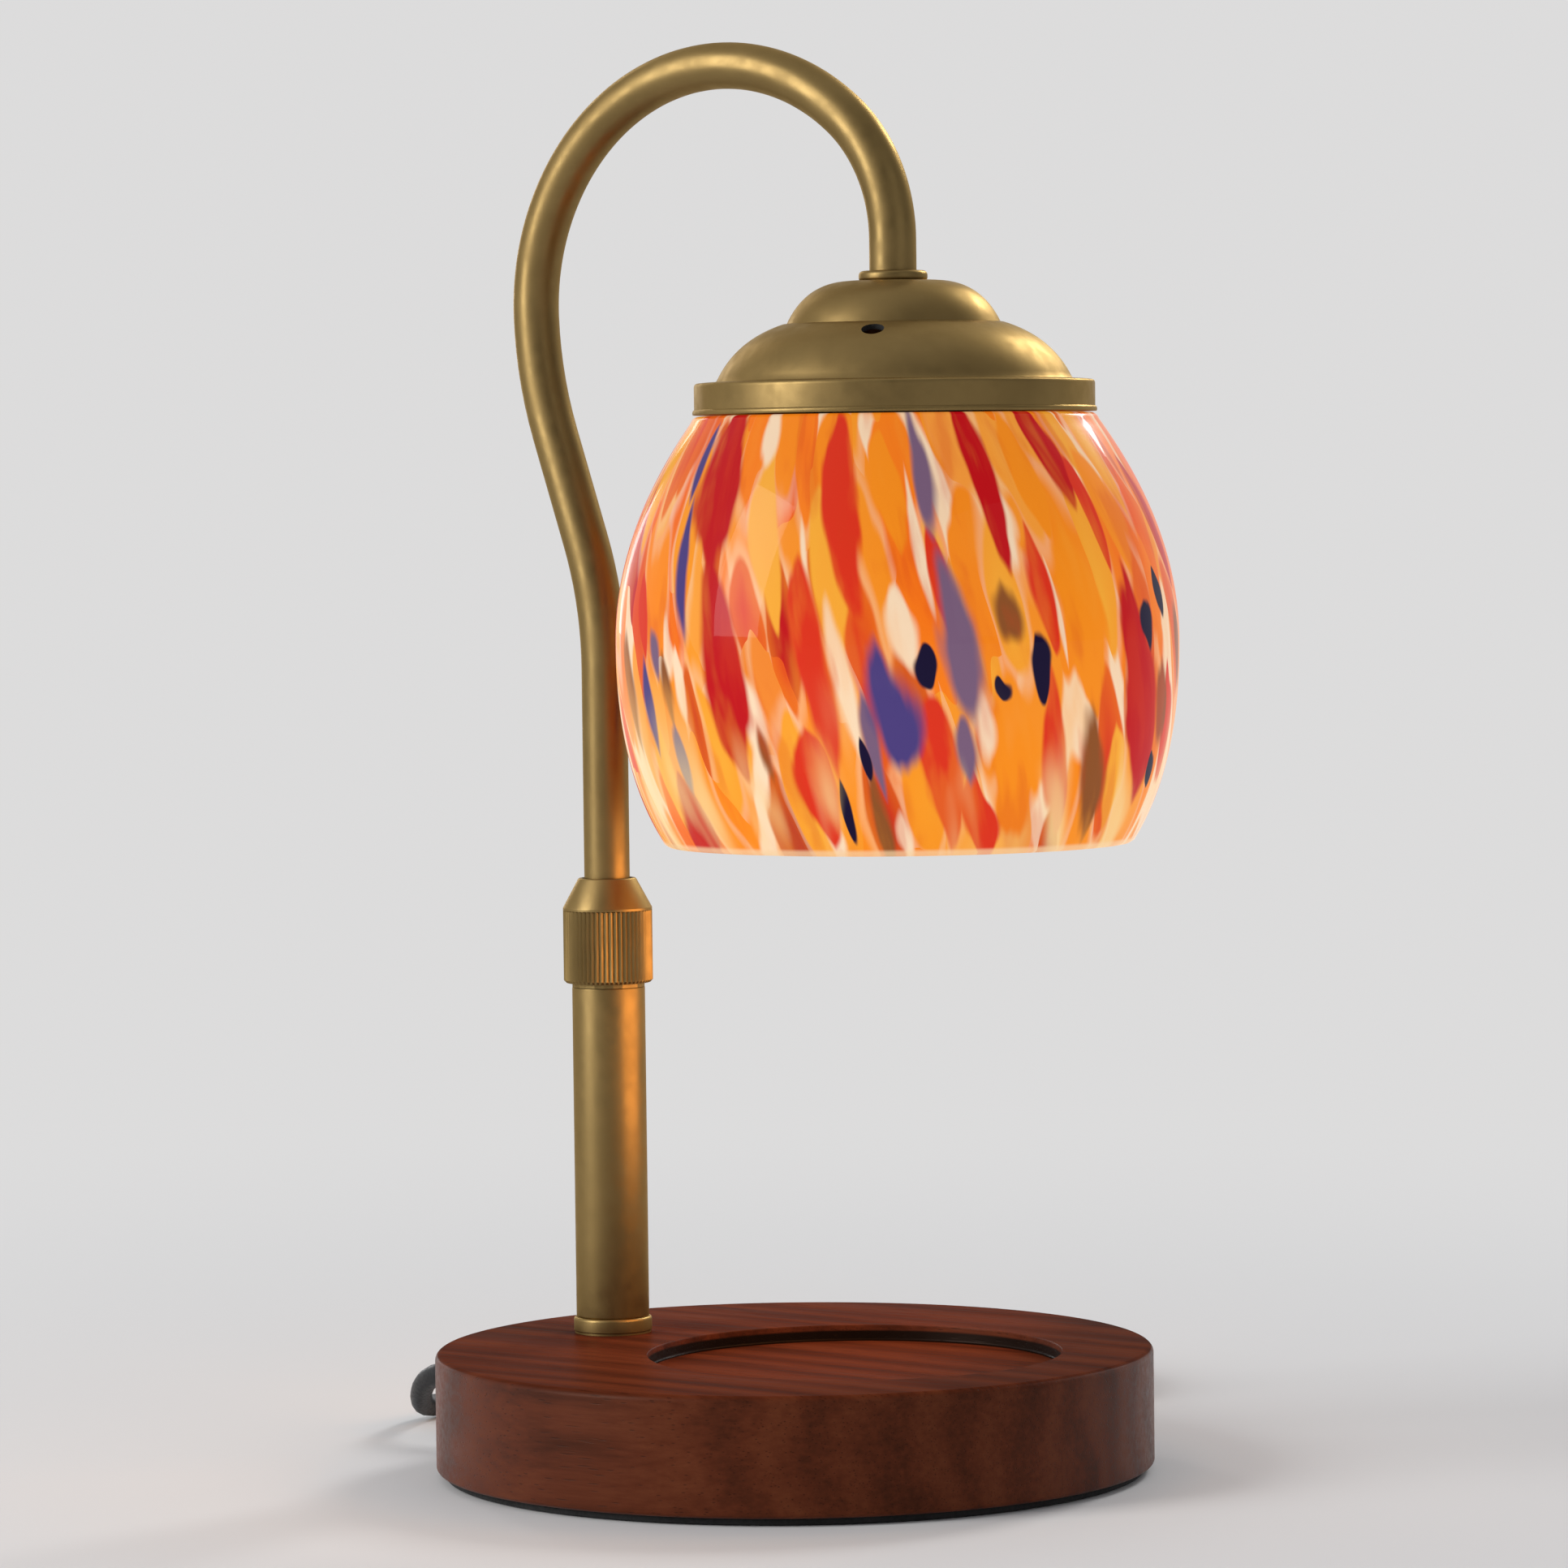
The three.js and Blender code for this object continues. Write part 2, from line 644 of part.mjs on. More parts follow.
function buildCanopy() {
  const outline = new THREE.Path()
    .moveTo(CANOPY_NIPPLE_R + GAP, 0)
    .lineTo(CROWN_FLAT_R, 0)
    .quadraticCurveTo(CROWN_SHOULDER_R, 0, CROWN_R, crownLow)
    .lineTo(CROWN_R + CREASE, crownLow)
    .quadraticCurveTo(TIER_SHOULDER_R, crownLow - TIER_SHOULDER_DROP, TIER_R, tierLow)
    .lineTo(BAND_R - BAND_ROUND, ledgeLow)
    .quadraticCurveTo(BAND_R, ledgeLow, BAND_R, ledgeLow - BAND_ROUND)
    .lineTo(BAND_R, rimLow + 2 * BEAD)
    .lineTo(BAND_R + BEAD, rimLow + BEAD)
    .lineTo(BAND_R + BEAD, rimLow);
  const outer = outline.getPoints(ARC_STEPS).map((point) => [point.x, point.y]);
  const cap = turned(shellOutline(outer, SHEET), MEDIUM_ROUND);
  const vents = Array.from({ length: VENTS }, (_, i) => drum(VENT_R, rimLow, 0, TINY_ROUND)
    .translate(VENT_PLACE_R, 0, 0)
    .rotateZ(radians(VENT_ANGLE + FULL_TURN * i / VENTS)));
  place('canopy', cut(cap, ...vents), BRASS, head);
  place('seat_ring', turned([
    [NECK_R + GAP, 0],
    [SEAT_R - SEAT_ROUND, 0],
    ...corner(SEAT_R - SEAT_ROUND, SEAT_ROUND, SEAT_ROUND, -45, 0, 1),
    ...corner(SEAT_R - SEAT_ROUND, SEAT_H - SEAT_ROUND, SEAT_ROUND, 0, 90, 3),
    [NECK_R + GAP, SEAT_H],
    [NECK_R + GAP, 0],
  ], SMALL_ROUND), BRASS, head);
}

function buildHolderFixings() {
  const nippleEnd = locknutLow - NIPPLE_BELOW_NUT;
  place('canopy_nipple', ring(CANOPY_NIPPLE_R, CANOPY_NIPPLE_BORE, nippleEnd, CANOPY_NIPPLE_UP, TINY_ROUND),
    STEEL, head);
  place('canopy_washer', ring(CANOPY_WASHER_R, CANOPY_NIPPLE_R + GAP, canopyWasherLow, -SHEET, SMALL_ROUND),
    STEEL, head);
  place('canopy_locknut', cut(
    pressed(hexShape(LOCKNUT_FLATS), locknutLow, strapLow),
    drum(CANOPY_NIPPLE_R + GAP, locknutLow - OVERRUN, strapLow + OVERRUN, TINY_ROUND)), STEEL, head);

  const outside = strapInside + STRAP_T;
  const strip = new THREE.Shape()
    .moveTo(-outside, strapFoot)
    .lineTo(-outside, canopyWasherLow - STRAP_BEND)
    .quadraticCurveTo(-outside, canopyWasherLow, STRAP_BEND - outside, canopyWasherLow)
    .lineTo(outside - STRAP_BEND, canopyWasherLow)
    .quadraticCurveTo(outside, canopyWasherLow, outside, canopyWasherLow - STRAP_BEND)
    .lineTo(outside, strapFoot)
    .lineTo(strapInside, strapFoot)
    .lineTo(strapInside, strapLow - STRAP_BEND + STRAP_T)
    .quadraticCurveTo(strapInside, strapLow, strapInside - STRAP_BEND + STRAP_T, strapLow)
    .lineTo(STRAP_BEND - STRAP_T - strapInside, strapLow)
    .quadraticCurveTo(-strapInside, strapLow, -strapInside, strapLow - STRAP_BEND + STRAP_T)
    .lineTo(-strapInside, strapFoot);
  const strap = pressed(strip, -STRAP_W / 2, STRAP_W / 2, STRAP_STEPS)
    .rotateX(Math.PI / 2)
    .rotateZ(Math.PI / 2);
  const screwHole = drum(STRAP_SCREW_R + GAP, -outside - OVERRUN, outside + OVERRUN, TINY_ROUND)
    .rotateX(Math.PI / 2)
    .translate(0, 0, strapScrewZ);
  place('holder_bracket', cut(strap,
    drum(CANOPY_NIPPLE_R + GAP, strapLow - OVERRUN, -SHEET, TINY_ROUND), screwHole), STEEL, head);

  for (const [name, side] of [['bracket_screw_1', 1], ['bracket_screw_2', -1]]) {
    const screw = turned([
      [0, -STRAP_T - STRAP_SCREW_DEPTH],
      [STRAP_SCREW_R, -STRAP_T - STRAP_SCREW_DEPTH],
      [STRAP_SCREW_R, GAP],
      [STRAP_SCREW_HEAD_R, GAP],
      [STRAP_SCREW_HEAD_R, STRAP_SCREW_HEAD_T],
      [STRAP_SCREW_HEAD_R / 2, STRAP_SCREW_HEAD_T + GAP],
      [0, STRAP_SCREW_HEAD_T + GAP],
    ], TINY_ROUND);
    place(name, screw.rotateX(-side * Math.PI / 2).translate(0, side * outside, strapScrewZ), STEEL, head);
  }
}

// An arc-shaped pocket round the axis, wide enough for a pin of the given radius to turn in.
function pinArc(pinRadius, from, low, high) {
  const reach = pinRadius + GAP;
  const spare = Math.asin(reach / PIN_PLACE_R);
  const [start, end] = [radians(from) - spare, radians(from + BULB_TWIST) + spare];
  const shape = new THREE.Shape()
    .absarc(0, 0, PIN_PLACE_R + reach, start, end)
    .absarc(0, 0, PIN_PLACE_R - reach, end, start, true);
  return pressed(shape, low, high, ARC_STEPS);
}

// A keyhole for one bulb pin: its head goes in at the far end and turns back over the narrow slot.
function keyhole(from) {
  const plateTop = holderLow + PIN_NECK - SOCKET_RUN - GAP;
  const entry = drum(PIN_HEAD_R + GAP, holderLow - OVERRUN, plateTop + OVERRUN, TINY_ROUND)
    .translate(PIN_PLACE_R, 0, 0)
    .rotateZ(radians(from + BULB_TWIST));
  return [
    pinArc(PIN_R, from, holderLow - OVERRUN, plateTop + OVERRUN),
    pinArc(PIN_HEAD_R, from, plateTop, plateTop + PIN_HEAD + 2 * GAP),
    entry,
  ];
}

function buildHolder() {
  const body = turned([
    [0, holderLow],
    [HOLDER_THREAD_R, holderLow],
    [HOLDER_THREAD_R, flangeLow],
    [HOLDER_FLANGE_R, flangeLow],
    [HOLDER_FLANGE_R, flangeTop],
    [HOLDER_R, flangeTop],
    [HOLDER_R, holderTop - HOLDER_TOP_ROUND],
    [HOLDER_R - HOLDER_TOP_ROUND, holderTop],
    [0, holderTop],
  ], SMALL_ROUND);
  const pilot = drum(STRAP_SCREW_R + GAP, -HOLDER_R - OVERRUN, HOLDER_R + OVERRUN, TINY_ROUND)
    .rotateX(Math.PI / 2)
    .translate(0, 0, strapScrewZ);
  const core = drum(HOLDER_R - STRAP_SCREW_DEPTH - GAP, strapFoot, holderTop - HOLDER_TOP_ROUND, TINY_ROUND);
  place('lamp_holder', cut(body, cut(pilot, core), ...keyhole(0), ...keyhole(180)), CERAMIC, head);
  place('shade_gasket', ring(HOLDER_FLANGE_R, HOLDER_THREAD_R + GAP, glassTop, flangeLow, SMALL_ROUND),
    SILICONE, head);

  const ringTop = glassUnder - GAP;
  const grip = ridgedShape(SHADE_RING_GRIPS, SHADE_RING_R, SHADE_RING_R - SHADE_RING_GRIP_DEPTH);
  grip.holes.push(new THREE.Path().absarc(0, 0, HOLDER_THREAD_R + GAP, 0, 2 * Math.PI, true));
  place('shade_ring', pressed(grip, ringTop - SHADE_RING_H, ringTop, SMALL_ROUND / 2), CERAMIC, head);
}

function buildShade() {
  const belly = glassTop - SHADE_BELLY_DROP;
  const mouth = belly - SHADE_MOUTH_DROP;
  const shoulderLow = glassTop - SHADE_TOP_ROUND;
  const outline = new THREE.Path()
    .moveTo(FITTER_R, glassTop)
    .lineTo(SHADE_TOP_R - SHADE_TOP_ROUND, glassTop)
    .lineTo(SHADE_TOP_R, shoulderLow)
    .quadraticCurveTo(SHADE_BELLY_R, (shoulderLow + belly) / 2, SHADE_BELLY_R, belly)
    .quadraticCurveTo(SHADE_BELLY_R, mouth + MOUTH_FLARE_RISE, SHADE_MOUTH_R, mouth);
  const outer = outline.getPoints(ARC_STEPS + 1).map((point) => [point.x, point.y]);
  place('glass_shade', turned(shellOutline(outer, GLASS_T), MEDIUM_ROUND), GLASS, head);
}

const bulbTop = holderLow - SOCKET_RUN;
const reflectorTop = bulbTop - BULB_BASE_H - GAP;
const reflectorFace = reflectorTop - REFLECTOR_NECK_H - REFLECTOR_H - REFLECTOR_RIM;

function buildBulb() {
  const flat = (BULB_BASE_L - BULB_BASE_W) / 2;
  const half = BULB_BASE_W / 2;
  const oblong = new THREE.Shape()
    .absarc(flat, 0, half, -Math.PI / 2, Math.PI / 2)
    .absarc(-flat, 0, half, Math.PI / 2, 3 * Math.PI / 2);
  place('bulb_base', pressed(oblong, bulbTop - BULB_BASE_H, bulbTop, ARC_STEPS), CERAMIC, head);
  for (const [name, side] of [['bulb_pin_1', 1], ['bulb_pin_2', -1]]) {
    place(name, turned([
      [0, bulbTop],
      [PIN_R, bulbTop],
      [PIN_R, bulbTop + PIN_NECK],
      [PIN_HEAD_R, bulbTop + PIN_NECK],
      [PIN_HEAD_R, bulbTop + PIN_NECK + PIN_HEAD - GAP],
      [0, bulbTop + PIN_NECK + PIN_HEAD - GAP],
    ], TINY_ROUND).translate(side * PIN_PLACE_R, 0, 0), NICKEL, head);
  }

  const bowlTop = reflectorTop - REFLECTOR_NECK_H;
  const bowlLow = bowlTop - REFLECTOR_H;
  const bowl = new THREE.Path()
    .moveTo(0, reflectorTop)
    .lineTo(REFLECTOR_NECK_R, reflectorTop)
    .lineTo(REFLECTOR_NECK_R, bowlTop)
    .quadraticCurveTo((REFLECTOR_NECK_R + REFLECTOR_R) / 2, bowlTop - REFLECTOR_H / 4, REFLECTOR_R, bowlLow)
    .lineTo(REFLECTOR_R, reflectorFace);
  const outer = bowl.getPoints(ARC_STEPS).map((point) => [point.x, point.y]);
  const outline = shellOutline(outer, REFLECTOR_WALL).slice(0, -1);
  outline[outline.length - 1] = [0, reflectorTop - REFLECTOR_WALL];
  place('bulb_reflector', turned(outline, SMALL_ROUND), MIRROR, head);

  const lensR = REFLECTOR_R - REFLECTOR_WALL - GAP;
  place('bulb_lens', turned([
    [0, reflectorFace - LENS_BULGE],
    [lensR / 2, reflectorFace - LENS_BULGE * (1 - 1 / 4)],
    [lensR, reflectorFace],
    [lensR, reflectorFace + LENS_T],
    [0, reflectorFace + LENS_T],
  ], SMALL_ROUND), CLEAR_GLASS, head);

  const capsuleTop = reflectorTop - REFLECTOR_WALL - GAP;
  place('bulb_capsule', turned([
    [0, capsuleTop - CAPSULE_H],
    [CAPSULE_R / 2, capsuleTop - CAPSULE_H + CAPSULE_R / 4],
    [CAPSULE_R, capsuleTop - CAPSULE_H + CAPSULE_R],
    [CAPSULE_R, capsuleTop],
    [0, capsuleTop],
  ], TINY_ROUND), CLEAR_GLASS, head);
}

function buildLeads() {
  const armLine = neckLine(STEM_LOW + BUSH_LIFT, -holderTop - GAP).line;
  place('arm_lead', tube(armLine, ARM_LEAD_R, 0, LEAD_SIDES, LEAD_STEPS), BLACK_PLASTIC);
  const shankEnd = RELIEF_SHANK - BASE_R + GAP;
  const mouth = POLE_X - POCKET_R;
  const sag = PAD_T + 2 * BASE_LEAD_R;
  const points = [
    [shankEnd, CORD_EXIT_Z],
    [mouth - 2 * BASE_LEAD_R, CORD_EXIT_Z],
    [mouth + BASE_LEAD_R, CORD_EXIT_Z - BASE_LEAD_R],
    [mouth + LEAD_SHARES[0] * POCKET_R, (CORD_EXIT_Z + sag) / 2],
    [mouth + LEAD_SHARES[1] * POCKET_R, sag],
    [POLE_X, nippleLow - 2 * BASE_LEAD_R],
    [POLE_X, nippleLow],
    [POLE_X, nippleLow + 2 * BASE_LEAD_R],
    [POLE_X, footTop],
  ].map(([x, z]) => new THREE.Vector3(x, 0, z));
  const line = new THREE.CatmullRomCurve3(points);
  place('base_lead', tube(line, BASE_LEAD_R, 0, LEAD_SIDES, LEAD_STEPS / 2), BLACK_PLASTIC);
}

// A turned tail that tapers in ribs from a root radius to a tip radius over a length.
function ribbedTail(rootR, tipR, length, ribs, land, waist) {
  const step = length / ribs;
  const radiusAt = (z) => rootR + (tipR - rootR) * z / length;
  const outline = [];
  for (let i = 0; i < ribs; i += 1) {
    const low = i * step;
    outline.push([radiusAt(low), low], [radiusAt(low + land), low + land]);
    if (i < ribs - 1) {
      outline.push([radiusAt(low + land) - waist, low + land], [radiusAt(low + step) - waist, low + step]);
    }
  }
  return [...outline, [tipR, length]];
}

function buildStrainRelief() {
  const outline = [
    [0, -RELIEF_SHANK],
    [RELIEF_SHANK_R, -RELIEF_SHANK],
    [RELIEF_SHANK_R, GAP],
    [RELIEF_COLLAR_R, GAP],
    [RELIEF_COLLAR_R, RELIEF_COLLAR],
    ...ribbedTail(RELIEF_ROOT_R, RELIEF_TIP_R, RELIEF_TAIL, RELIEF_RIBS, RELIEF_RIB, RELIEF_WAIST)
      .map(([radius, z]) => [radius, z + RELIEF_COLLAR]),
    [0, RELIEF_COLLAR + RELIEF_TAIL],
  ];
  place('strain_relief', turned(outline, SMALL_ROUND / 2).rotateY(-Math.PI / 2)
    .translate(-BASE_R, 0, CORD_EXIT_Z), BLACK_RUBBER);
}

// Sweeps a section with a few sides along points, keeping it upright, and closes both ends.
function woundTube(points, radius, sides) {
  const up = new THREE.Vector3(0, 0, 1);
  const positions = [];
  points.forEach((point, i) => {
    const before = points[Math.max(i - 1, 0)];
    const after = points[Math.min(i + 1, points.length - 1)];
    const along = after.clone().sub(before).normalize();
    const side = along.clone().cross(up).normalize();
    const over = side.clone().cross(along);
    for (let j = 0; j < sides; j += 1) {
      const angle = 2 * Math.PI * (j + 1 / 2) / sides;
      const at = point.clone()
        .addScaledVector(side, radius * Math.cos(angle))
        .addScaledVector(over, radius * Math.sin(angle));
      positions.push(at.x, at.y, at.z);
    }
  });
  const index = [];
  const last = (points.length - 1) * sides;
  for (let i = 0; i < points.length - 1; i += 1) {
    for (let j = 0; j < sides; j += 1) {
      const [a, b] = [i * sides + j, i * sides + (j + 1) % sides];
      index.push(a, b, b + sides, a, b + sides, a + sides);
    }
  }
  for (let j = 1; j < sides - 1; j += 1) {
    index.push(0, j + 1, j, last, last + j, last + j + 1);
  }
  const geometry = new THREE.BufferGeometry();
  geometry.setAttribute('position', new THREE.Float32BufferAttribute(positions, 3));
  geometry.setIndex(index);
  return geometry;
}

const coilFloor = TIE_T + GAP + CORD_D / 2;

// Centre line of the coil: in along the floor, up a layer in the half turn at the middle, and out again.
function coilLine() {
  const points = [];
  const steps = Math.round(COIL_TURNS * COIL_STEPS);
  for (let i = 0; i <= steps; i += 1) {
    const turn = COIL_TURNS * i / steps;
    const fromMiddle = turn - COIL_TURNS / 2;
    const radius = COIL_OUTER - COIL_PITCH * (COIL_TURNS / 2 - Math.abs(fromMiddle));
    const climbed = THREE.MathUtils.clamp(1 / 2 + 2 * fromMiddle, 0, 1);
    const angle = radians(COIL_START + FULL_TURN * turn);
    points.push(new THREE.Vector3(
      radius * Math.cos(angle), radius * Math.sin(angle), coilFloor + COIL_RISE * climbed));
  }
  const tangent = (degrees) => new THREE.Vector3(-Math.sin(radians(degrees)), Math.cos(radians(degrees)), 0);
  const end = COIL_START + FULL_TURN * COIL_TURNS;
  points.unshift(points[0].clone().addScaledVector(tangent(COIL_START), -CORD_D));
  points.push(points[points.length - 1].clone().addScaledVector(tangent(end), CORD_D));
  return points;
}

// The least space between two turns, from points on the centre line more than half a turn apart.
function leastGap(points) {
  const parts = STEP_SHARES.length;
  const fine = points.slice(0, -1).flatMap((point, i) => STEP_SHARES.map(
    (share) => point.clone().lerp(points[i + 1], share)));
  const apart = parts * COIL_STEPS / 2;
  let least = Infinity;
  for (let i = 0; i < fine.length; i += 1) {
    for (let j = i + apart; j < fine.length; j += 1) least = Math.min(least, fine[i].distanceTo(fine[j]));
  }
  return least - CORD_D;
}

function buildCoil() {
  const coil = new THREE.Group();
  coil.position.set(COIL_X, COIL_Y, 0);
  lamp.add(coil);
  const line = coilLine();
  console.log(`least gap between the coil's turns: ${leastGap(line).toFixed(2)} mm`);
  place('cord_coil', woundTube(line, CORD_D / 2, COIL_SIDES), BLACK_RUBBER, coil);

  const inner = COIL_OUTER - COIL_PITCH * COIL_TURNS / 2 - CORD_D / 2 - TIE_SLACK;
  const outer = COIL_OUTER + CORD_D / 2 + TIE_SLACK;
  const low = TIE_T;
  const high = coilFloor + COIL_RISE + CORD_D / 2 + GAP;
  const band = new THREE.Shape()
    .moveTo(inner - TIE_T, low - TIE_T)
    .lineTo(outer + TIE_T, low - TIE_T)
    .lineTo(outer + TIE_T, high + TIE_T)
    .lineTo(inner - TIE_T, high + TIE_T);
  band.holes.push(new THREE.Path()
    .moveTo(inner, low)
    .lineTo(inner, high)
    .lineTo(outer, high)
    .lineTo(outer, low));
  place('coil_tie', pressed(band, -TIE_W / 2, TIE_W / 2).rotateX(Math.PI / 2).rotateZ(radians(TIE_ANGLE)),
    BLACK_PLASTIC, coil);
}

function buildCordRuns() {
  for (const [name, route] of Object.entries(CORD_ROUTES)) {
    const line = new THREE.CatmullRomCurve3(route.map((point) => new THREE.Vector3(...point)));
    const steps = Math.ceil(line.getLength() / (CORD_STEP_SHARE * CORD_D));
    place(name, tube(line, CORD_D / 2, 0, CORD_SIDES, steps), BLACK_RUBBER);
  }
}

// A long housing with narrow noses at both ends, split level through the middle round a thumb wheel.
function buildSwitch() {
  const group = new THREE.Group();
  group.position.set(SWITCH_X, SWITCH_Y, 0);
  group.rotation.z = radians(SWITCH_HEADING);
  lamp.add(group);
  const [half, nose, body] = [SWITCH_L / 2, SWITCH_NOSE_W / 2, SWITCH_BODY_SHARE * SWITCH_L / 2];
  const side = SWITCH_W / 2;
  const plan = new THREE.Shape()
    .moveTo(-half, -nose)
    .quadraticCurveTo(-body, -nose, -body, -side)
    .lineTo(body, -side)
    .quadraticCurveTo(body, -nose, half, -nose)
    .lineTo(half, nose)
    .quadraticCurveTo(body, nose, body, side)
    .lineTo(-body, side)
    .quadraticCurveTo(-body, nose, -half, nose);
  const housing = pressedRound(plan, 0, SWITCH_H, SWITCH_ROUND);
  const middle = SWITCH_H / 2;
  const wheelY = side + WHEEL_PROUD - WHEEL_R;
  const wheelLow = middle - WHEEL_T / 2;
  const wheelHigh = middle + WHEEL_T / 2;
  const room = drum(WHEEL_R + 2 * GAP, wheelLow - GAP, wheelHigh + GAP, SMALL_ROUND).translate(0, wheelY, 0);
  const pinHole = drum(WHEEL_PIN_R + GAP, WHEEL_PIN_WALL, SWITCH_H - WHEEL_PIN_WALL, TINY_ROUND)
    .translate(0, wheelY, 0);
  const slab = (low, high) => block(SWITCH_L + OVERRUN, SWITCH_W + OVERRUN, low, high);
  place('switch_bottom', cut(common(housing, slab(-OVERRUN, middle - GAP / 2)), room, pinHole),
    BLACK_PLASTIC, group);
  place('switch_top', cut(common(housing, slab(middle + GAP / 2, SWITCH_H + OVERRUN)), room, pinHole),
    BLACK_PLASTIC, group);
  const wheel = ridgedShape(WHEEL_RIDGES, WHEEL_R, WHEEL_R - WHEEL_RIDGE);
  wheel.holes.push(new THREE.Path().absarc(0, 0, WHEEL_PIN_R + GAP, 0, 2 * Math.PI, true));
  place('dimmer_wheel', pressed(wheel, wheelLow, wheelHigh, TINY_ROUND / 2).translate(0, wheelY, 0),
    BLACK_PLASTIC, group);
  place('wheel_pin', drum(WHEEL_PIN_R, WHEEL_PIN_WALL + GAP, SWITCH_H - WHEEL_PIN_WALL - GAP, TINY_ROUND)
    .translate(0, wheelY, 0), STEEL, group);
}

function buildPlug() {
  const group = new THREE.Group();
  group.position.set(PLUG_X, PLUG_Y, PLUG_AXIS_Z);
  group.rotation.z = radians(PLUG_HEADING);
  lamp.add(group);
  const [halfW, halfH] = [PLUG_W / 2, PLUG_H / 2];
  const section = new THREE.Shape()
    .moveTo(-halfW, PLUG_CORNER - halfH)
    .quadraticCurveTo(-halfW, -halfH, PLUG_CORNER - halfW, -halfH)
    .lineTo(halfW - PLUG_CORNER, -halfH)
    .quadraticCurveTo(halfW, -halfH, halfW, PLUG_CORNER - halfH)
    .lineTo(halfW, halfH - PLUG_CORNER)
    .quadraticCurveTo(halfW, halfH, halfW - PLUG_CORNER, halfH)
    .lineTo(PLUG_CORNER - halfW, halfH)
    .quadraticCurveTo(-halfW, halfH, -halfW, halfH - PLUG_CORNER);
  const face = PLUG_TAIL + PLUG_L;
  const upright = (geometry) => geometry.rotateX(Math.PI / 2).rotateZ(Math.PI / 2);
  const body = upright(pressedRound(section, PLUG_TAIL, face, PLUG_ROUND));
  const tailPoints = ribbedTail(
    PLUG_TAIL_ROOT_R, PLUG_TAIL_R, PLUG_TAIL, PLUG_TAIL_RIBS, RELIEF_RIB, RELIEF_WAIST)
    .map(([radius, z]) => [radius, PLUG_TAIL - z]);
  const tail = upright(turned([
    [0, PLUG_TAIL + OVERRUN],
    [PLUG_TAIL_ROOT_R, PLUG_TAIL + OVERRUN],
    ...tailPoints,
    [0, 0],
  ], TINY_ROUND));
  const socket = block(BLADE_IN + OVERRUN, BLADE_T + 2 * GAP, -BLADE_W / 2 - GAP, BLADE_W / 2 + GAP)
    .translate(face + (OVERRUN - BLADE_IN) / 2, 0, 0);
  const sides = [-BLADE_SPACING / 2, BLADE_SPACING / 2];
  place('plug_body', cut(join(body, tail), ...sides.map((y) => socket.clone().translate(0, y, 0))),
    BLACK_RUBBER, group);

  const [back, tip, rise] = [face - BLADE_IN + GAP, face + BLADE_OUT, BLADE_W / 2];
  const blade = new THREE.Shape()
    .moveTo(back, -rise)
    .lineTo(tip - BLADE_T, -rise)
    .lineTo(tip, -rise + BLADE_T)
    .lineTo(tip, rise - BLADE_T)
    .lineTo(tip - BLADE_T, rise)
    .lineTo(back, rise);
  blade.holes.push(new THREE.Path().absarc(tip - BLADE_HOLE_BACK, 0, BLADE_HOLE_R, 0, 2 * Math.PI, true));
  sides.forEach((y, i) => {
    place(`plug_blade_${i + 1}`, pressed(blade, -BLADE_T / 2, BLADE_T / 2, TINY_ROUND / 2)
      .rotateX(Math.PI / 2)
      .translate(0, y, 0), NICKEL, group);
  });
}

buildBase();
buildPoleFoot();
buildCollet();
buildClampNut();
buildNeck();
buildCanopy();
buildHolderFixings();
buildHolder();
buildShade();
buildBulb();
buildLeads();
buildStrainRelief();
buildCordRuns();
buildCoil();
buildSwitch();
buildPlug();

export default lamp;
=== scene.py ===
"""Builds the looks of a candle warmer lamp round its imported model.

All lengths are metres and all angles degrees, unless a name says otherwise.
+Z is up and +X runs from the pole's side of the base towards the shade. But for
its cord and its vents the lamp is alike on both sides of Y = 0. The studio and
the cord are made first, then each sub-assembly from the base up, and at last
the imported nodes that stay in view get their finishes.
"""
from __future__ import annotations

import logging
import math
from dataclasses import dataclass
from enum import Enum
from typing import Callable, Iterable, Sequence

import bpy
import numpy as np
from mathutils import Matrix, Vector

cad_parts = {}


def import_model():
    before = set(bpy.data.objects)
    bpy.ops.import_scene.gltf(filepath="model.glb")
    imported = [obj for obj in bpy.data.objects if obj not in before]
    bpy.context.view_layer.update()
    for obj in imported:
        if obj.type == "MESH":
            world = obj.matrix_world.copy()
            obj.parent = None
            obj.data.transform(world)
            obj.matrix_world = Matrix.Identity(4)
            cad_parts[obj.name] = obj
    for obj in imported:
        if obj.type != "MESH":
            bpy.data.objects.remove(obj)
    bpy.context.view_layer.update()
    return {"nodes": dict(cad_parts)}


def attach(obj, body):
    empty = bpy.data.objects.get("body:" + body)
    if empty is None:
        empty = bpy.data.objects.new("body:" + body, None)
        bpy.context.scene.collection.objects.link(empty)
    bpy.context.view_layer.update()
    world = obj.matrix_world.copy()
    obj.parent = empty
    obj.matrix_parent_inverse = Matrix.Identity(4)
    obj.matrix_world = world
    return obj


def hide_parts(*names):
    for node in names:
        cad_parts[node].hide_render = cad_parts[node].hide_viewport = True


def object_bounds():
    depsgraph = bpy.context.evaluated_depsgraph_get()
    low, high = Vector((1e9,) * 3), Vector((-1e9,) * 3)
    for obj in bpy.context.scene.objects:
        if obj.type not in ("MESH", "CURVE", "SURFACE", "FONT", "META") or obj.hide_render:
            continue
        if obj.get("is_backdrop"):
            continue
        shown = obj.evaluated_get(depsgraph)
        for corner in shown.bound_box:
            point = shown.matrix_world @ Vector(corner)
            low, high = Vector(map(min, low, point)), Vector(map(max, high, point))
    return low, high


log = logging.getLogger("candle_warmer")

Array = np.ndarray
Colour = tuple[float, float, float]
Point = tuple[float, float, float]
Piece = bpy.types.Object
Socket = bpy.types.NodeSocket

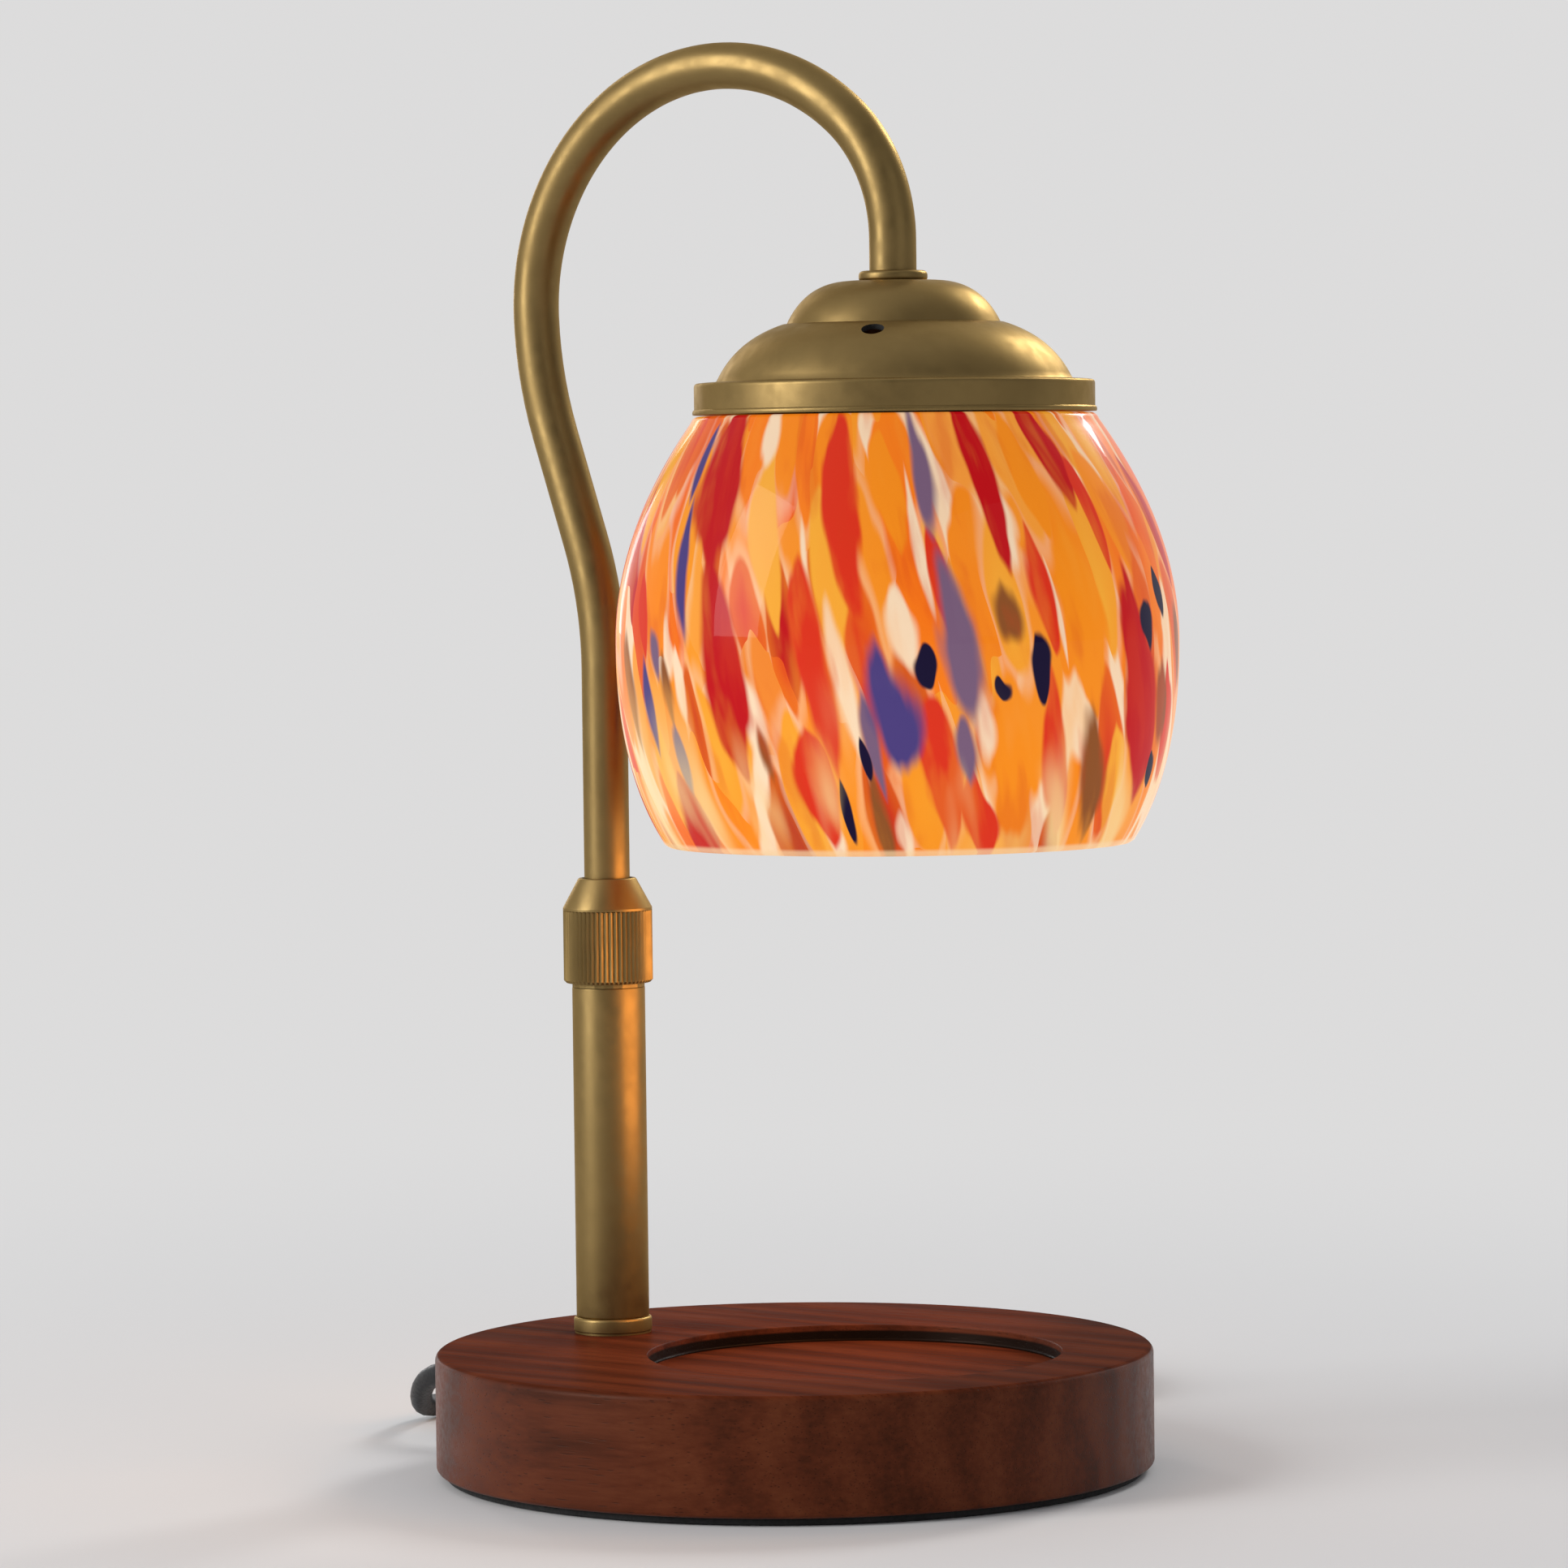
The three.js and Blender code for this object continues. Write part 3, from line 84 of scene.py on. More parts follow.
# A millimetre, the angle from which an edge stays sharp, and where most of a noise's values lie.
MM = 0.001
SHARP = 38
NOISE_LOW = 0.3
NOISE_HIGH = 0.7


class Body(Enum):
    """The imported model's bodies that new pieces ride on."""

    BASE = "base"
    NUT = "nut"
    ARM = "arm"
    BULB = "bulb"
    DIMMER = "dimmer"


class Slot(Enum):
    """The record's material slots; no piece here is put in one."""

    WALNUT = "walnut"
    PAD = "pad"
    BRASS = "brass"
    SHADE = "amber_glass"
    MIRROR = "mirror"
    CLEAR = "clear_glass"
    NICKEL = "nickel"
    PLASTIC = "black_plastic"
    RUBBER = "cord_rubber"


# Shapes as arrays.


def smooth_edges(points: Sequence[Sequence[float]], radii: Sequence[float], steps: int = 5) -> Array:
    """Rounds the corners of an open outline with circular arcs.

    At a corner whose edges turn through an angle t, the arc of radius r
    touches both edges at r * tan(t / 2) from the corner. Its centre C lies r
    to the inner side of the first touching point. Its point at angle a is
    C + r (sin a * d - cos a * n), where d is the first edge's direction and n
    the direction from that edge to the centre.

    Args:
        points: Corners of the outline, each a pair.
        radii: One radius a corner; zero keeps the corner sharp.
        steps: Steps along each arc.

    Returns:
        The outline's points, one row each.
    """
    least_turn = 0.001
    corners = np.asarray(points, float)
    pieces = [corners[:1]]
    for before, here, after, radius in zip(corners, corners[1:], corners[2:], radii[1:-1]):
        into = (here - before) / np.linalg.norm(here - before)
        out = (after - here) / np.linalg.norm(after - here)
        turn = math.acos(float(np.clip(into @ out, -1, 1)))
        if radius <= 0 or turn < least_turn:
            pieces.append(here[None])
            continue
        reach = radius * math.tan(turn / 2)
        side = out - into * float(into @ out)
        side /= np.linalg.norm(side)
        centre = here - into * reach + side * radius
        angle = np.linspace(0, turn, steps + 1)[:, None]
        pieces.append(centre + radius * (np.sin(angle) * into - np.cos(angle) * side))
    pieces.append(corners[-1:])
    return np.vstack(pieces)


def disc_outline(radius: float, low: float, high: float, edges: tuple[float, float], steps: int = 5) -> Array:
    """Half the section of a solid disc on Z, with its two edges rounded.

    Args:
        radius: Radius of the disc.
        low: Height of its bottom.
        high: Height of its top.
        edges: Rounding of the bottom edge and of the top edge.
        steps: Steps along each rounding.

    Returns:
        The outline from the bottom's edge to the top's, without the points on the axis.
    """
    corners = [[0, low], [radius, low], [radius, high], [0, high]]
    return smooth_edges(corners, [0, *edges, 0], steps)[1:-1]


def ring_outline(bore: float, radius: float, low: float, high: float, edges: tuple[float, float],
                 steps: int = 5) -> Array:
    """The section of a ring about Z, with its two outer edges rounded.

    Args:
        bore: Inner radius.
        radius: Outer radius.
        low: Height of its bottom.
        high: Height of its top.
        edges: Rounding of the bottom edge and of the top edge.
        steps: Steps along each rounding.

    Returns:
        The closed outline, without its first point again at the end.
    """
    corners = [[bore, low], [radius, low], [radius, high], [bore, high], [bore, low]]
    return smooth_edges(corners, [0, *edges, 0, 0], steps)[:-1]


def quadratic(start: Sequence[float], control: Sequence[float], end: Sequence[float], steps: int) -> Array:
    """Points of a quadratic curve: (1-t)^2 start + 2t(1-t) control + t^2 end.

    Args:
        start: First point.
        control: Point that pulls the curve.
        end: Last point.
        steps: Steps along the curve.

    Returns:
        The curve's points, one row each.
    """
    t = np.linspace(0, 1, steps + 1)[:, None]
    a, b, c = (np.asarray(p, float) for p in (start, control, end))
    return (1 - t) ** 2 * a + 2 * t * (1 - t) * b + t**2 * c


def inset(outline: Array, wall: float) -> Array:
    """Moves an outline to the right of its direction by an even wall.

    Each point moves along the mean of its two edges' normals, by the wall
    over the cosine of half the turn between them, and at most by twice the
    wall.

    Args:
        outline: Points of an open outline.
        wall: Distance to move by.

    Returns:
        The moved points.
    """
    least_cosine = 0.5
    along = np.diff(outline, axis=0)
    along /= np.linalg.norm(along, axis=1)[:, None]
    normal = np.stack([along[:, 1], -along[:, 0]], 1)
    before = np.vstack([normal[:1], normal])
    after = np.vstack([normal, normal[-1:]])
    middle = before + after
    middle /= np.linalg.norm(middle, axis=1)[:, None]
    reach = wall / np.maximum((middle * after).sum(1), least_cosine)
    return outline + middle * reach[:, None]


def walked(line: Array) -> Array:
    """Distance along a line at each of its points: the sum of the steps up to it."""
    return np.concatenate([[0], np.cumsum(np.linalg.norm(np.diff(line, axis=0), axis=1))])


def through(points: Sequence[Sequence[float]], step: float) -> Array:
    """A smooth line through points, at even steps.

    Between two points a cubic joins them, and its slope at each point is half
    the way from the point before to the point after.

    Args:
        points: Points to pass through.
        step: Distance between the points returned.

    Returns:
        The line's points.
    """
    samples = 24
    p = np.asarray(points, float)
    slope = np.gradient(p, axis=0)
    t = np.linspace(0, 1, samples, endpoint=False)[:, None, None]
    a, b, ma, mb = p[:-1], p[1:], slope[:-1], slope[1:]
    curve = (2 * t**3 - 3 * t**2 + 1) * a + (t**3 - 2 * t**2 + t) * ma
    curve = curve + (3 * t**2 - 2 * t**3) * b + (t**3 - t**2) * mb
    line = np.vstack([curve.transpose(1, 0, 2).reshape(-1, 3), p[-1:]])
    along = walked(line)
    at = np.linspace(0, along[-1], max(2, round(along[-1] / step)) + 1)
    return np.stack([np.interp(at, along, line[:, k]) for k in range(3)], 1)


def round_section(radius: float, sides: int) -> Array:
    """Points of a circle: (r cos a, r sin a)."""
    angle = np.linspace(0, 2 * np.pi, sides, endpoint=False)
    return radius * np.stack([np.cos(angle), np.sin(angle)], 1)


def squared_section(width: float | Array, height: float | Array, power: float | Array, sides: int) -> Array:
    """Points of a rounded rectangle, or of a column of them.

    Each coordinate is half the size times the sign of the cosine or sine,
    times its size raised to 2 / power, so a higher power is squarer. For a
    column of rectangles the three sizes are arrays of one column.

    Args:
        width: Size across.
        height: Size up.
        power: Two for an ellipse, more for a squarer outline.
        sides: Points round it.

    Returns:
        The section's points, or one row of points for each rectangle.
    """
    angle = np.linspace(0, 2 * np.pi, sides, endpoint=False)
    c, s = np.cos(angle), np.sin(angle)
    x = width / 2 * np.sign(c) * np.abs(c) ** (2 / power)
    y = height / 2 * np.sign(s) * np.abs(s) ** (2 / power)
    return np.stack([x, y], -1)


def ring_ends(count: int) -> tuple[Array, Array]:
    """Numbers of a ring's points, and of the point after each."""
    here = np.arange(count)
    return here, (here + 1) % count


def grid_faces(rows: int, columns: int, wrap_rows: bool = False) -> Array:
    """Quads of a grid whose columns close on themselves.

    Args:
        rows: Rings of the grid.
        columns: Points in each ring.
        wrap_rows: Joins the last ring to the first.

    Returns:
        One row of four vertex numbers a quad.
    """
    first_rows = np.arange(rows if wrap_rows else rows - 1)
    i, j = np.meshgrid(first_rows, np.arange(columns), indexing="ij")
    i_next, j_next = (i + 1) % rows, (j + 1) % columns
    low, low_next = i * columns + j, i * columns + j_next
    high, high_next = i_next * columns + j, i_next * columns + j_next
    return np.stack([low, low_next, high_next, high], -1).reshape(-1, 4)


@dataclass
class Surface:
    """Points and faces of one closed surface, before it becomes a piece."""

    points: Array
    faces: list[list[int]]

    def moved(self, x: float = 0, y: float = 0, z: float = 0) -> "Surface":
        """The same surface, shifted."""
        return Surface(self.points + np.array([x, y, z]), self.faces)

    def turned(self, degrees: float, axis: str = "Z") -> "Surface":
        """The same surface, turned about an axis through the origin."""
        matrix = np.array(Matrix.Rotation(math.radians(degrees), 3, axis))
        return Surface(self.points @ matrix.T, self.faces)

    def joined(self, *others: "Surface") -> "Surface":
        """This surface and others as one mesh of several shells.

        Args:
            others: The surfaces to add.

        Returns:
            The mesh of all of them.
        """
        points, faces = [self.points], list(self.faces)
        count = len(self.points)
        for other in others:
            points.append(other.points)
            faces += [[v + count for v in face] for face in other.faces]
            count += len(other.points)
        return Surface(np.vstack(points), faces)


def close_grid(grid: Array, closed: bool = False) -> Surface:
    """Makes a surface of rings of points, with each end ring closed by a fan.

    Args:
        grid: Rings by points by three.
        closed: The last ring joins the first, so there are no ends.

    Returns:
        The surface.
    """
    rows, columns = grid.shape[:2]
    points = grid.reshape(-1, 3)
    faces = grid_faces(rows, columns, closed)
    if closed:
        return Surface(points, faces.tolist())
    ends = np.array([grid[0].mean(0), grid[-1].mean(0)])
    j, j_next = ring_ends(columns)
    first = np.stack([j_next, j, np.full(columns, len(points))], 1)
    last = np.stack([j, j_next, np.full(columns, len(points) + 1)], 1)
    last[:, :2] += (rows - 1) * columns
    return Surface(np.vstack([points, ends]), faces.tolist() + first.tolist() + last.tolist())


def revolve(
    outline: Array, sides: int, closed: bool = False, ripple: Callable[[Array, Array], Array] | None = None
) -> Surface:
    """Turns an outline about Z.

    The point at outline row i and angle a is (r_i cos a, r_i sin a, z_i). The
    end rings of an open outline are closed by fans.

    Args:
        outline: Radius and height pairs, from the outside's bottom up or closed.
        sides: Points round the axis.
        closed: The outline closes on itself and stays off the axis.
        ripple: Gives the change of radius for arrays of angle and height.

    Returns:
        The surface.
    """
    angle = np.linspace(0, 2 * np.pi, sides, endpoint=False)
    radius = np.repeat(outline[:, :1], sides, 1)
    height = np.repeat(outline[:, 1:2], sides, 1)
    if ripple is not None:
        radius = radius + ripple(np.broadcast_to(angle, radius.shape), height)
    grid = np.stack([radius * np.cos(angle), radius * np.sin(angle), height], -1)
    return close_grid(grid, closed)


def sweep(path: Array, section: Array, upright: Sequence[float] = (0, 0, 1), closed: bool = False) -> Surface:
    """Carries a section along a path without twist.

    At each path point the section's first axis is the path's direction
    crossed with the upright direction, and its second is square to both.

    Args:
        path: Points of the path.
        section: Pairs across and up; they go round against the clock.
        upright: Direction that is never along the path.
        closed: The path closes on itself.

    Returns:
        The surface.
    """
    if closed:
        along = np.roll(path, -1, 0) - np.roll(path, 1, 0)
    else:
        along = np.gradient(path, axis=0)
    along /= np.linalg.norm(along, axis=1)[:, None]
    side = np.cross(along, np.asarray(upright, float))
    side /= np.linalg.norm(side, axis=1)[:, None]
    over = np.cross(side, along)
    across = section[None, :, :1] * side[:, None]
    up = section[None, :, 1:] * over[:, None]
    return close_grid(path[:, None] + across + up, closed)


def loft(places: Array, sections: Array, upright: bool = False) -> Surface:
    """Stands sections one after the other along X or Z and skins them.

    Args:
        places: Place of each section along the axis.
        sections: Each section's points, as pairs of the other two coordinates.
        upright: The axis is Z in place of X.

    Returns:
        The surface.
    """
    at = np.broadcast_to(places[:, None, None], (*sections.shape[:2], 1))
    return close_grid(np.concatenate([sections, at] if upright else [at, sections], 2))


def rod(radius: float, low: float, high: float, sides: int = 48) -> Surface:
    """A plain cylinder on Z between two heights."""
    return revolve(np.array([[radius, low], [radius, high]]), sides)


# Materials.


class Nodes:
    """A short hand for building one material's node tree."""

    def __init__(self, name: str) -> None:
        """Starts an empty material with its output and its main shader.

        Args:
            name: Name of the material.
        """
        self.material = bpy.data.materials.new(name)
        self.material.use_nodes = True
        self.tree = self.material.node_tree
        self.tree.nodes.clear()
        self.output = self.tree.nodes.new("ShaderNodeOutputMaterial")
        self.shader = self.add("ShaderNodeBsdfPrincipled")
        self.tree.links.new(self.shader.outputs[0], self.output.inputs["Surface"])

    def add(self, kind: str, settings: dict | None = None, **inputs: object) -> bpy.types.Node:
        """Adds a node.

        Args:
            kind: Blender's name of the node type.
            settings: Properties of the node itself.
            inputs: Values or output sockets, by socket name with _ for a space.

        Returns:
            The node.
        """
        node = self.tree.nodes.new(kind)
        for key, value in (settings or {}).items():
            setattr(node, key, value)
        for key, value in inputs.items():
            self.give(node.inputs[key.replace("_", " ")], value)
        return node

    def give(self, socket: Socket, value: object) -> None:
        """Links an output socket to an input, or writes a value into it.

        Args:
            socket: The input.
            value: An output socket, a number, a vector, or a colour without its alpha.
        """
        if isinstance(value, bpy.types.NodeSocket):
            self.tree.links.new(value, socket)
        elif isinstance(value, tuple) and len(value) == 3 and socket.type == "RGBA":
            socket.default_value = (*value, 1.0)
        else:
            socket.default_value = value

    def surface(self, **inputs: object) -> None:
        """Sets inputs of the main shader."""
        for key, value in inputs.items():
            self.give(self.shader.inputs[key.replace("_", " ")], value)

    def place(self, stretch: Sequence[float] = (1, 1, 1), shift: Sequence[float] = (0, 0, 0), turn: float = 0,
              source: Socket | None = None) -> Socket:
        """Object coordinates, or another vector, stretched, turned about Z and then shifted.

        Args:
            stretch: Factor for each axis.
            shift: Added at the end.
            turn: Angle about Z.
            source: Vector to use in place of Object coordinates.

        Returns:
            The vector's output socket.
        """
        vector = source or self.add("ShaderNodeTexCoord").outputs["Object"]
        mapping = self.add("ShaderNodeMapping", Vector=vector)
        mapping.inputs["Location"].default_value = shift
        mapping.inputs["Rotation"].default_value = (0, 0, math.radians(turn))
        mapping.inputs["Scale"].default_value = stretch
        return mapping.outputs[0]

    def noise(self, vector: Socket, scale: float, detail: float = 3, roughness: float = 0.5) -> Socket:
        """The value of a noise texture."""
        node = self.add("ShaderNodeTexNoise", Vector=vector, Scale=scale, Detail=detail, Roughness=roughness)
        return node.outputs[0]

    def cells(self, vector: Socket, scale: float) -> Socket:
        """Distance to the nearest centre of a cell texture."""
        return self.add("ShaderNodeTexVoronoi", Vector=vector, Scale=scale).outputs["Distance"]

    def up(self, vector: Socket) -> Socket:
        """The Z part of a vector."""
        return self.add("ShaderNodeSeparateXYZ", Vector=vector).outputs["Z"]

    def ramp(self, value: Socket, stops: Sequence[tuple[float, Colour]], blend: str = "LINEAR") -> Socket:
        """Colours along a value.

        Args:
            value: What picks the colour.
            stops: Pairs of place and colour, in order.
            blend: How the colours join.

        Returns:
            The colour's output socket.
        """
        node = self.add("ShaderNodeValToRGB", Fac=value)
        ramp = node.color_ramp
        ramp.interpolation = blend
        while len(ramp.elements) < len(stops):
            ramp.elements.new(1.0)
        for element, (at, colour) in zip(ramp.elements, stops):
            element.position = at
            element.color = (*colour, 1)
        return node.outputs[0]

    def fade(self, value: Socket, low: float, high: float, to_low: float = 0, to_high: float = 1) -> Socket:
        """Maps a range of values smoothly onto another.

        With u as the value's place in its range, held between 0 and 1, the
        result is to_low + (to_high - to_low) (3 u^2 - 2 u^3).

        Args:
            value: What is mapped.
            low: Start of its range.
            high: End of its range.
            to_low: Result at and before the start.
            to_high: Result at and past the end.

        Returns:
            The result's output socket.
        """
        settings = {"interpolation_type": "SMOOTHSTEP", "clamp": False}
        node = self.add("ShaderNodeMapRange", settings, Value=value)
        for name, number in (("From Min", low), ("From Max", high), ("To Min", to_low), ("To Max", to_high)):
            node.inputs[name].default_value = number
        return node.outputs[0]

    def math(self, operation: str, a: object, b: object) -> Socket:
        """One step of arithmetic on two values.

        Args:
            operation: Blender's name of the step.
            a: First value or output socket.
            b: Second value or output socket.

        Returns:
            The result's output socket.
        """
        node = self.add("ShaderNodeMath", {"operation": operation})
        self.give(node.inputs[0], a)
        self.give(node.inputs[1], b)
        return node.outputs[0]

    def vector_math(self, operation: str, *vectors: object, output: str = "Vector") -> Socket:
        """One step of arithmetic on vectors.

        Args:
            operation: Blender's name of the step.
            vectors: Vectors or output sockets, in the order of the node's inputs.
            output: Which of the node's results is used.

        Returns:
            The result's output socket.
        """
        node = self.add("ShaderNodeVectorMath", {"operation": operation})
        for socket, vector in zip(node.inputs, vectors):
            self.give(socket, vector)
        return node.outputs[output]

    def mix(self, factor: object, a: object, b: object) -> Socket:
        """Mixes two colours.

        Args:
            factor: Share of the second colour.
            a: First colour.
            b: Second colour.

        Returns:
            The colour's output socket.
        """
        node = self.add("ShaderNodeMix", {"data_type": "RGBA"})
        self.give(node.inputs[0], factor)
        self.give(node.inputs[6], a)
        self.give(node.inputs[7], b)
        return node.outputs[2]

    def bump(self, height: Socket, distance: float, strength: float = 1.0) -> None:
        """Raises the surface's normals by a height."""
        node = self.add("ShaderNodeBump", Height=height, Distance=distance, Strength=strength)
        self.surface(Normal=node.outputs[0])


@dataclass(frozen=True)
class Finish:
    """A finish that makes its material once and then shares it."""

    name: str

    def material(self) -> bpy.types.Material:
        """The finish's material, made on its first use.

        Returns:
            The material.
        """
        found = bpy.data.materials.get(self.name)
        if found is None:
            nodes = Nodes(self.name)
            self.paint(nodes)
            found = nodes.material
        return found

    def paint(self, nodes: Nodes) -> None:
        """Fills the node tree; each kind of finish has its own way."""
        raise NotImplementedError(f"{self.name} can't fill {nodes}")


@dataclass(frozen=True)
class SatinMetal(Finish):
    """Satin lacquered metal with a fine sprayed grain."""

    tone: Colour = (0.255, 0.174, 0.066)
    shade: Colour = (0.198, 0.132, 0.048)
    roughness: float = 0.41
    metallic: float = 0.88
    grain: float = 0.00004
    edge: Colour = (0.9, 0.74, 0.52)
    drift_scale: float = 38
    cloud_scale: float = 260
    grain_scale: float = 2200
    grain_strength: float = 0.08

    def paint(self, nodes: Nodes) -> None:
        """Slow drifts of tone, a cloudier gloss and a fine sprayed grain.

        Args:
            nodes: The tree to fill.
        """
        at = nodes.place()
        drift = nodes.noise(at, self.drift_scale, 4, 0.6)
        cloud = nodes.noise(at, self.cloud_scale)
        nodes.surface(
            Base_Color=nodes.ramp(drift, [(NOISE_LOW, self.shade), (NOISE_HIGH, self.tone)]),
            Metallic=self.metallic,
            Specular_Tint=self.edge,
            Roughness=nodes.fade(cloud, NOISE_LOW, NOISE_HIGH, self.roughness - 0.05, self.roughness + 0.07),
        )
        nodes.bump(nodes.noise(at, self.grain_scale, 2), self.grain, self.grain_strength)


@dataclass(frozen=True)
class Walnut(Finish):
    """Dark stained wood whose grain crosses the base at an angle."""

    dark: Colour = (0.05, 0.0128, 0.0058)
    middle: Colour = (0.092, 0.0215, 0.0088)
    light: Colour = (0.128, 0.034, 0.0135)
    pore_tone: Colour = (0.014, 0.004, 0.002)
    # Near black, painted on the recess's wall as shade.
    recess_shade_tone: Colour = (0.006, 0.003, 0.002)
    sheen: Colour = (0.55, 0.36, 0.27)
    turn: float = 34
    figure_share: float = 0.16
    streak_share: float = 0.5
    drift_share: float = 0.36
    pore_share: float = 0.5
    pore_depth: float = 0.00006
    recess_x: float = 0.016
    recess_radius: float = 0.0445
    rim_height: float = 0.0258
    rim_fade: float = 0.0006

    def grain(self, nodes: Nodes, along: float, across: float) -> Socket:
        """Coordinates turned to the grain, with one factor along it and one across it."""
        return nodes.place(stretch=(along, across, across), turn=self.turn)

    def painted_recess_shade(self, nodes: Nodes) -> Socket:
        """Finds where the recess's wall gets painted shade, by its distance from the recess's axis and its
        height.

        Args:
            nodes: The tree to add to.

        Returns:
            One on the wall and zero elsewhere.
        """
        flat = nodes.place(stretch=(1, 1, 0), shift=(-self.recess_x, 0, 0))
        reach = nodes.vector_math("LENGTH", flat, output="Value")
        off = nodes.math("ABSOLUTE", nodes.math("SUBTRACT", reach, self.recess_radius), 0.0)
        near = nodes.fade(off, 0.0003, 0.0009, 1, 0)
        below = nodes.fade(nodes.up(nodes.place()), self.rim_height - self.rim_fade, self.rim_height, 1, 0)
        return nodes.math("MULTIPLY", near, below)

    def paint(self, nodes: Nodes) -> None:
        """Long figure, fine streaks and short open pores under a satin coat.

        The tone follows the sum of the figure, the streaks and a slow drift,
        each times its share. The recess's wall is darkened to near black as
        painted shade. The coat's gloss fades on faces that look up.

        Args:
            nodes: The tree to fill.
        """
        at = self.grain(nodes, 1, 9)
        drift = nodes.noise(at, 6, 3, 0.6)
        figure = nodes.add("ShaderNodeTexWave", {"wave_type": "BANDS", "bands_direction": "Y"},
                           Vector=at, Scale=3.2, Distortion=9, Detail=3, Detail_Scale=1.1).outputs[1]
        streak = nodes.noise(self.grain(nodes, 7, 170), 4, 5, 0.65)
        parts = ((figure, self.figure_share), (streak, self.streak_share), (drift, self.drift_share))
        first, second, third = (nodes.math("MULTIPLY", part, share) for part, share in parts)
        value = nodes.math("ADD", nodes.math("ADD", first, second), third)
        wood = nodes.ramp(value, [(0.34, self.dark), (0.52, self.middle), (0.72, self.light)])
        pore = nodes.fade(nodes.cells(self.grain(nodes, 26, 420), 3.4), 0.1, 0.26, 1, 0)
        wood = nodes.mix(nodes.math("MULTIPLY", pore, self.pore_share), wood, self.pore_tone)
        facing = nodes.up(nodes.add("ShaderNodeNewGeometry").outputs["Normal"])
        nodes.surface(
            # The recess's wall is painted near black: painted shade.
            Base_Color=nodes.mix(self.painted_recess_shade(nodes), wood, self.recess_shade_tone),
            Roughness=nodes.fade(streak, NOISE_LOW, NOISE_HIGH, 0.34, 0.48),
            Specular_IOR_Level=nodes.fade(facing, 0.2, 0.8, 0.2, 0.001),
            Specular_Tint=self.sheen,
        )
        nodes.bump(nodes.math("SUBTRACT", nodes.math("MULTIPLY", streak, 0.3), pore), self.pore_depth, 0.5)


CREAM: Colour = (1.0, 0.74, 0.5)
GOLD: Colour = (1.0, 0.43, 0.04)
AMBER: Colour = (1.0, 0.285, 0.012)
RUBY: Colour = (0.56, 0.005, 0.009)
SCARLET: Colour = (0.76, 0.035, 0.012)
LILAC: Colour = (0.2, 0.115, 0.2)
VIOLET: Colour = (0.075, 0.05, 0.21)
INK: Colour = (0.008, 0.004, 0.03)
UMBER: Colour = (0.28, 0.085, 0.02)
PEACH: Colour = (1.0, 0.6, 0.3)
APRICOT: Colour = (1.0, 0.7, 0.4)
HONEY: Colour = (1.0, 0.74, 0.34)
FLAME: Colour = (1.0, 0.36, 0.035)
EMBER: Colour = (0.7, 0.045, 0.01)
DARK: Colour = (0.0, 0.0, 0.0)
SOFT_TONES = (LILAC, VIOLET, UMBER, CREAM)

Stops = tuple[tuple[float, Colour], ...]
WARM: Stops = ((0, (1.0, 0.26, 0.012)), (0.2, (1.0, 0.34, 0.025)), (0.38, (1.0, 0.19, 0.01)),
               (0.55, (1.0, 0.4, 0.06)), (0.7, (0.93, 0.12, 0.01)), (0.82, (1.0, 0.3, 0.02)))
RED: Stops = ((0, RUBY), (0.3, SCARLET), (0.55, (0.45, 0.004, 0.008)), (0.72, (0.8, 0.07, 0.01)))
YELLOW: Stops = ((0, GOLD), (0.4, (1.0, 0.52, 0.12)), (0.7, (1.0, 0.34, 0.02)))


@dataclass(frozen=True)
class Petals:
    """A layer of petals: cells a metre, an offset, the share of cells with a petal, its size and tones."""

    scale: float
    shift: Point
    share: float
    size: float
    tones: Stops


LAYERS: tuple[Petals, ...] = (
    Petals(100, (0, 0, 0), 1.0, 0.78, WARM),
    Petals(116, (0.73, 0.11, 0.42), 0.85, 0.64, WARM),
    Petals(110, (0.31, 0.17, 0.05), 0.34, 0.56, RED),
    Petals(128, (0.57, 0.02, 0.33), 0.4, 0.52, YELLOW),
    Petals(150, (0.91, 0.55, 0.13), 0.24, 0.5, RED),
)


@dataclass(frozen=True)
class Splash:
    """A splash of glass as listed: its angle, and its way down and half sizes in millimetres."""

    angle: float
    down: float
    across: float
    along: float


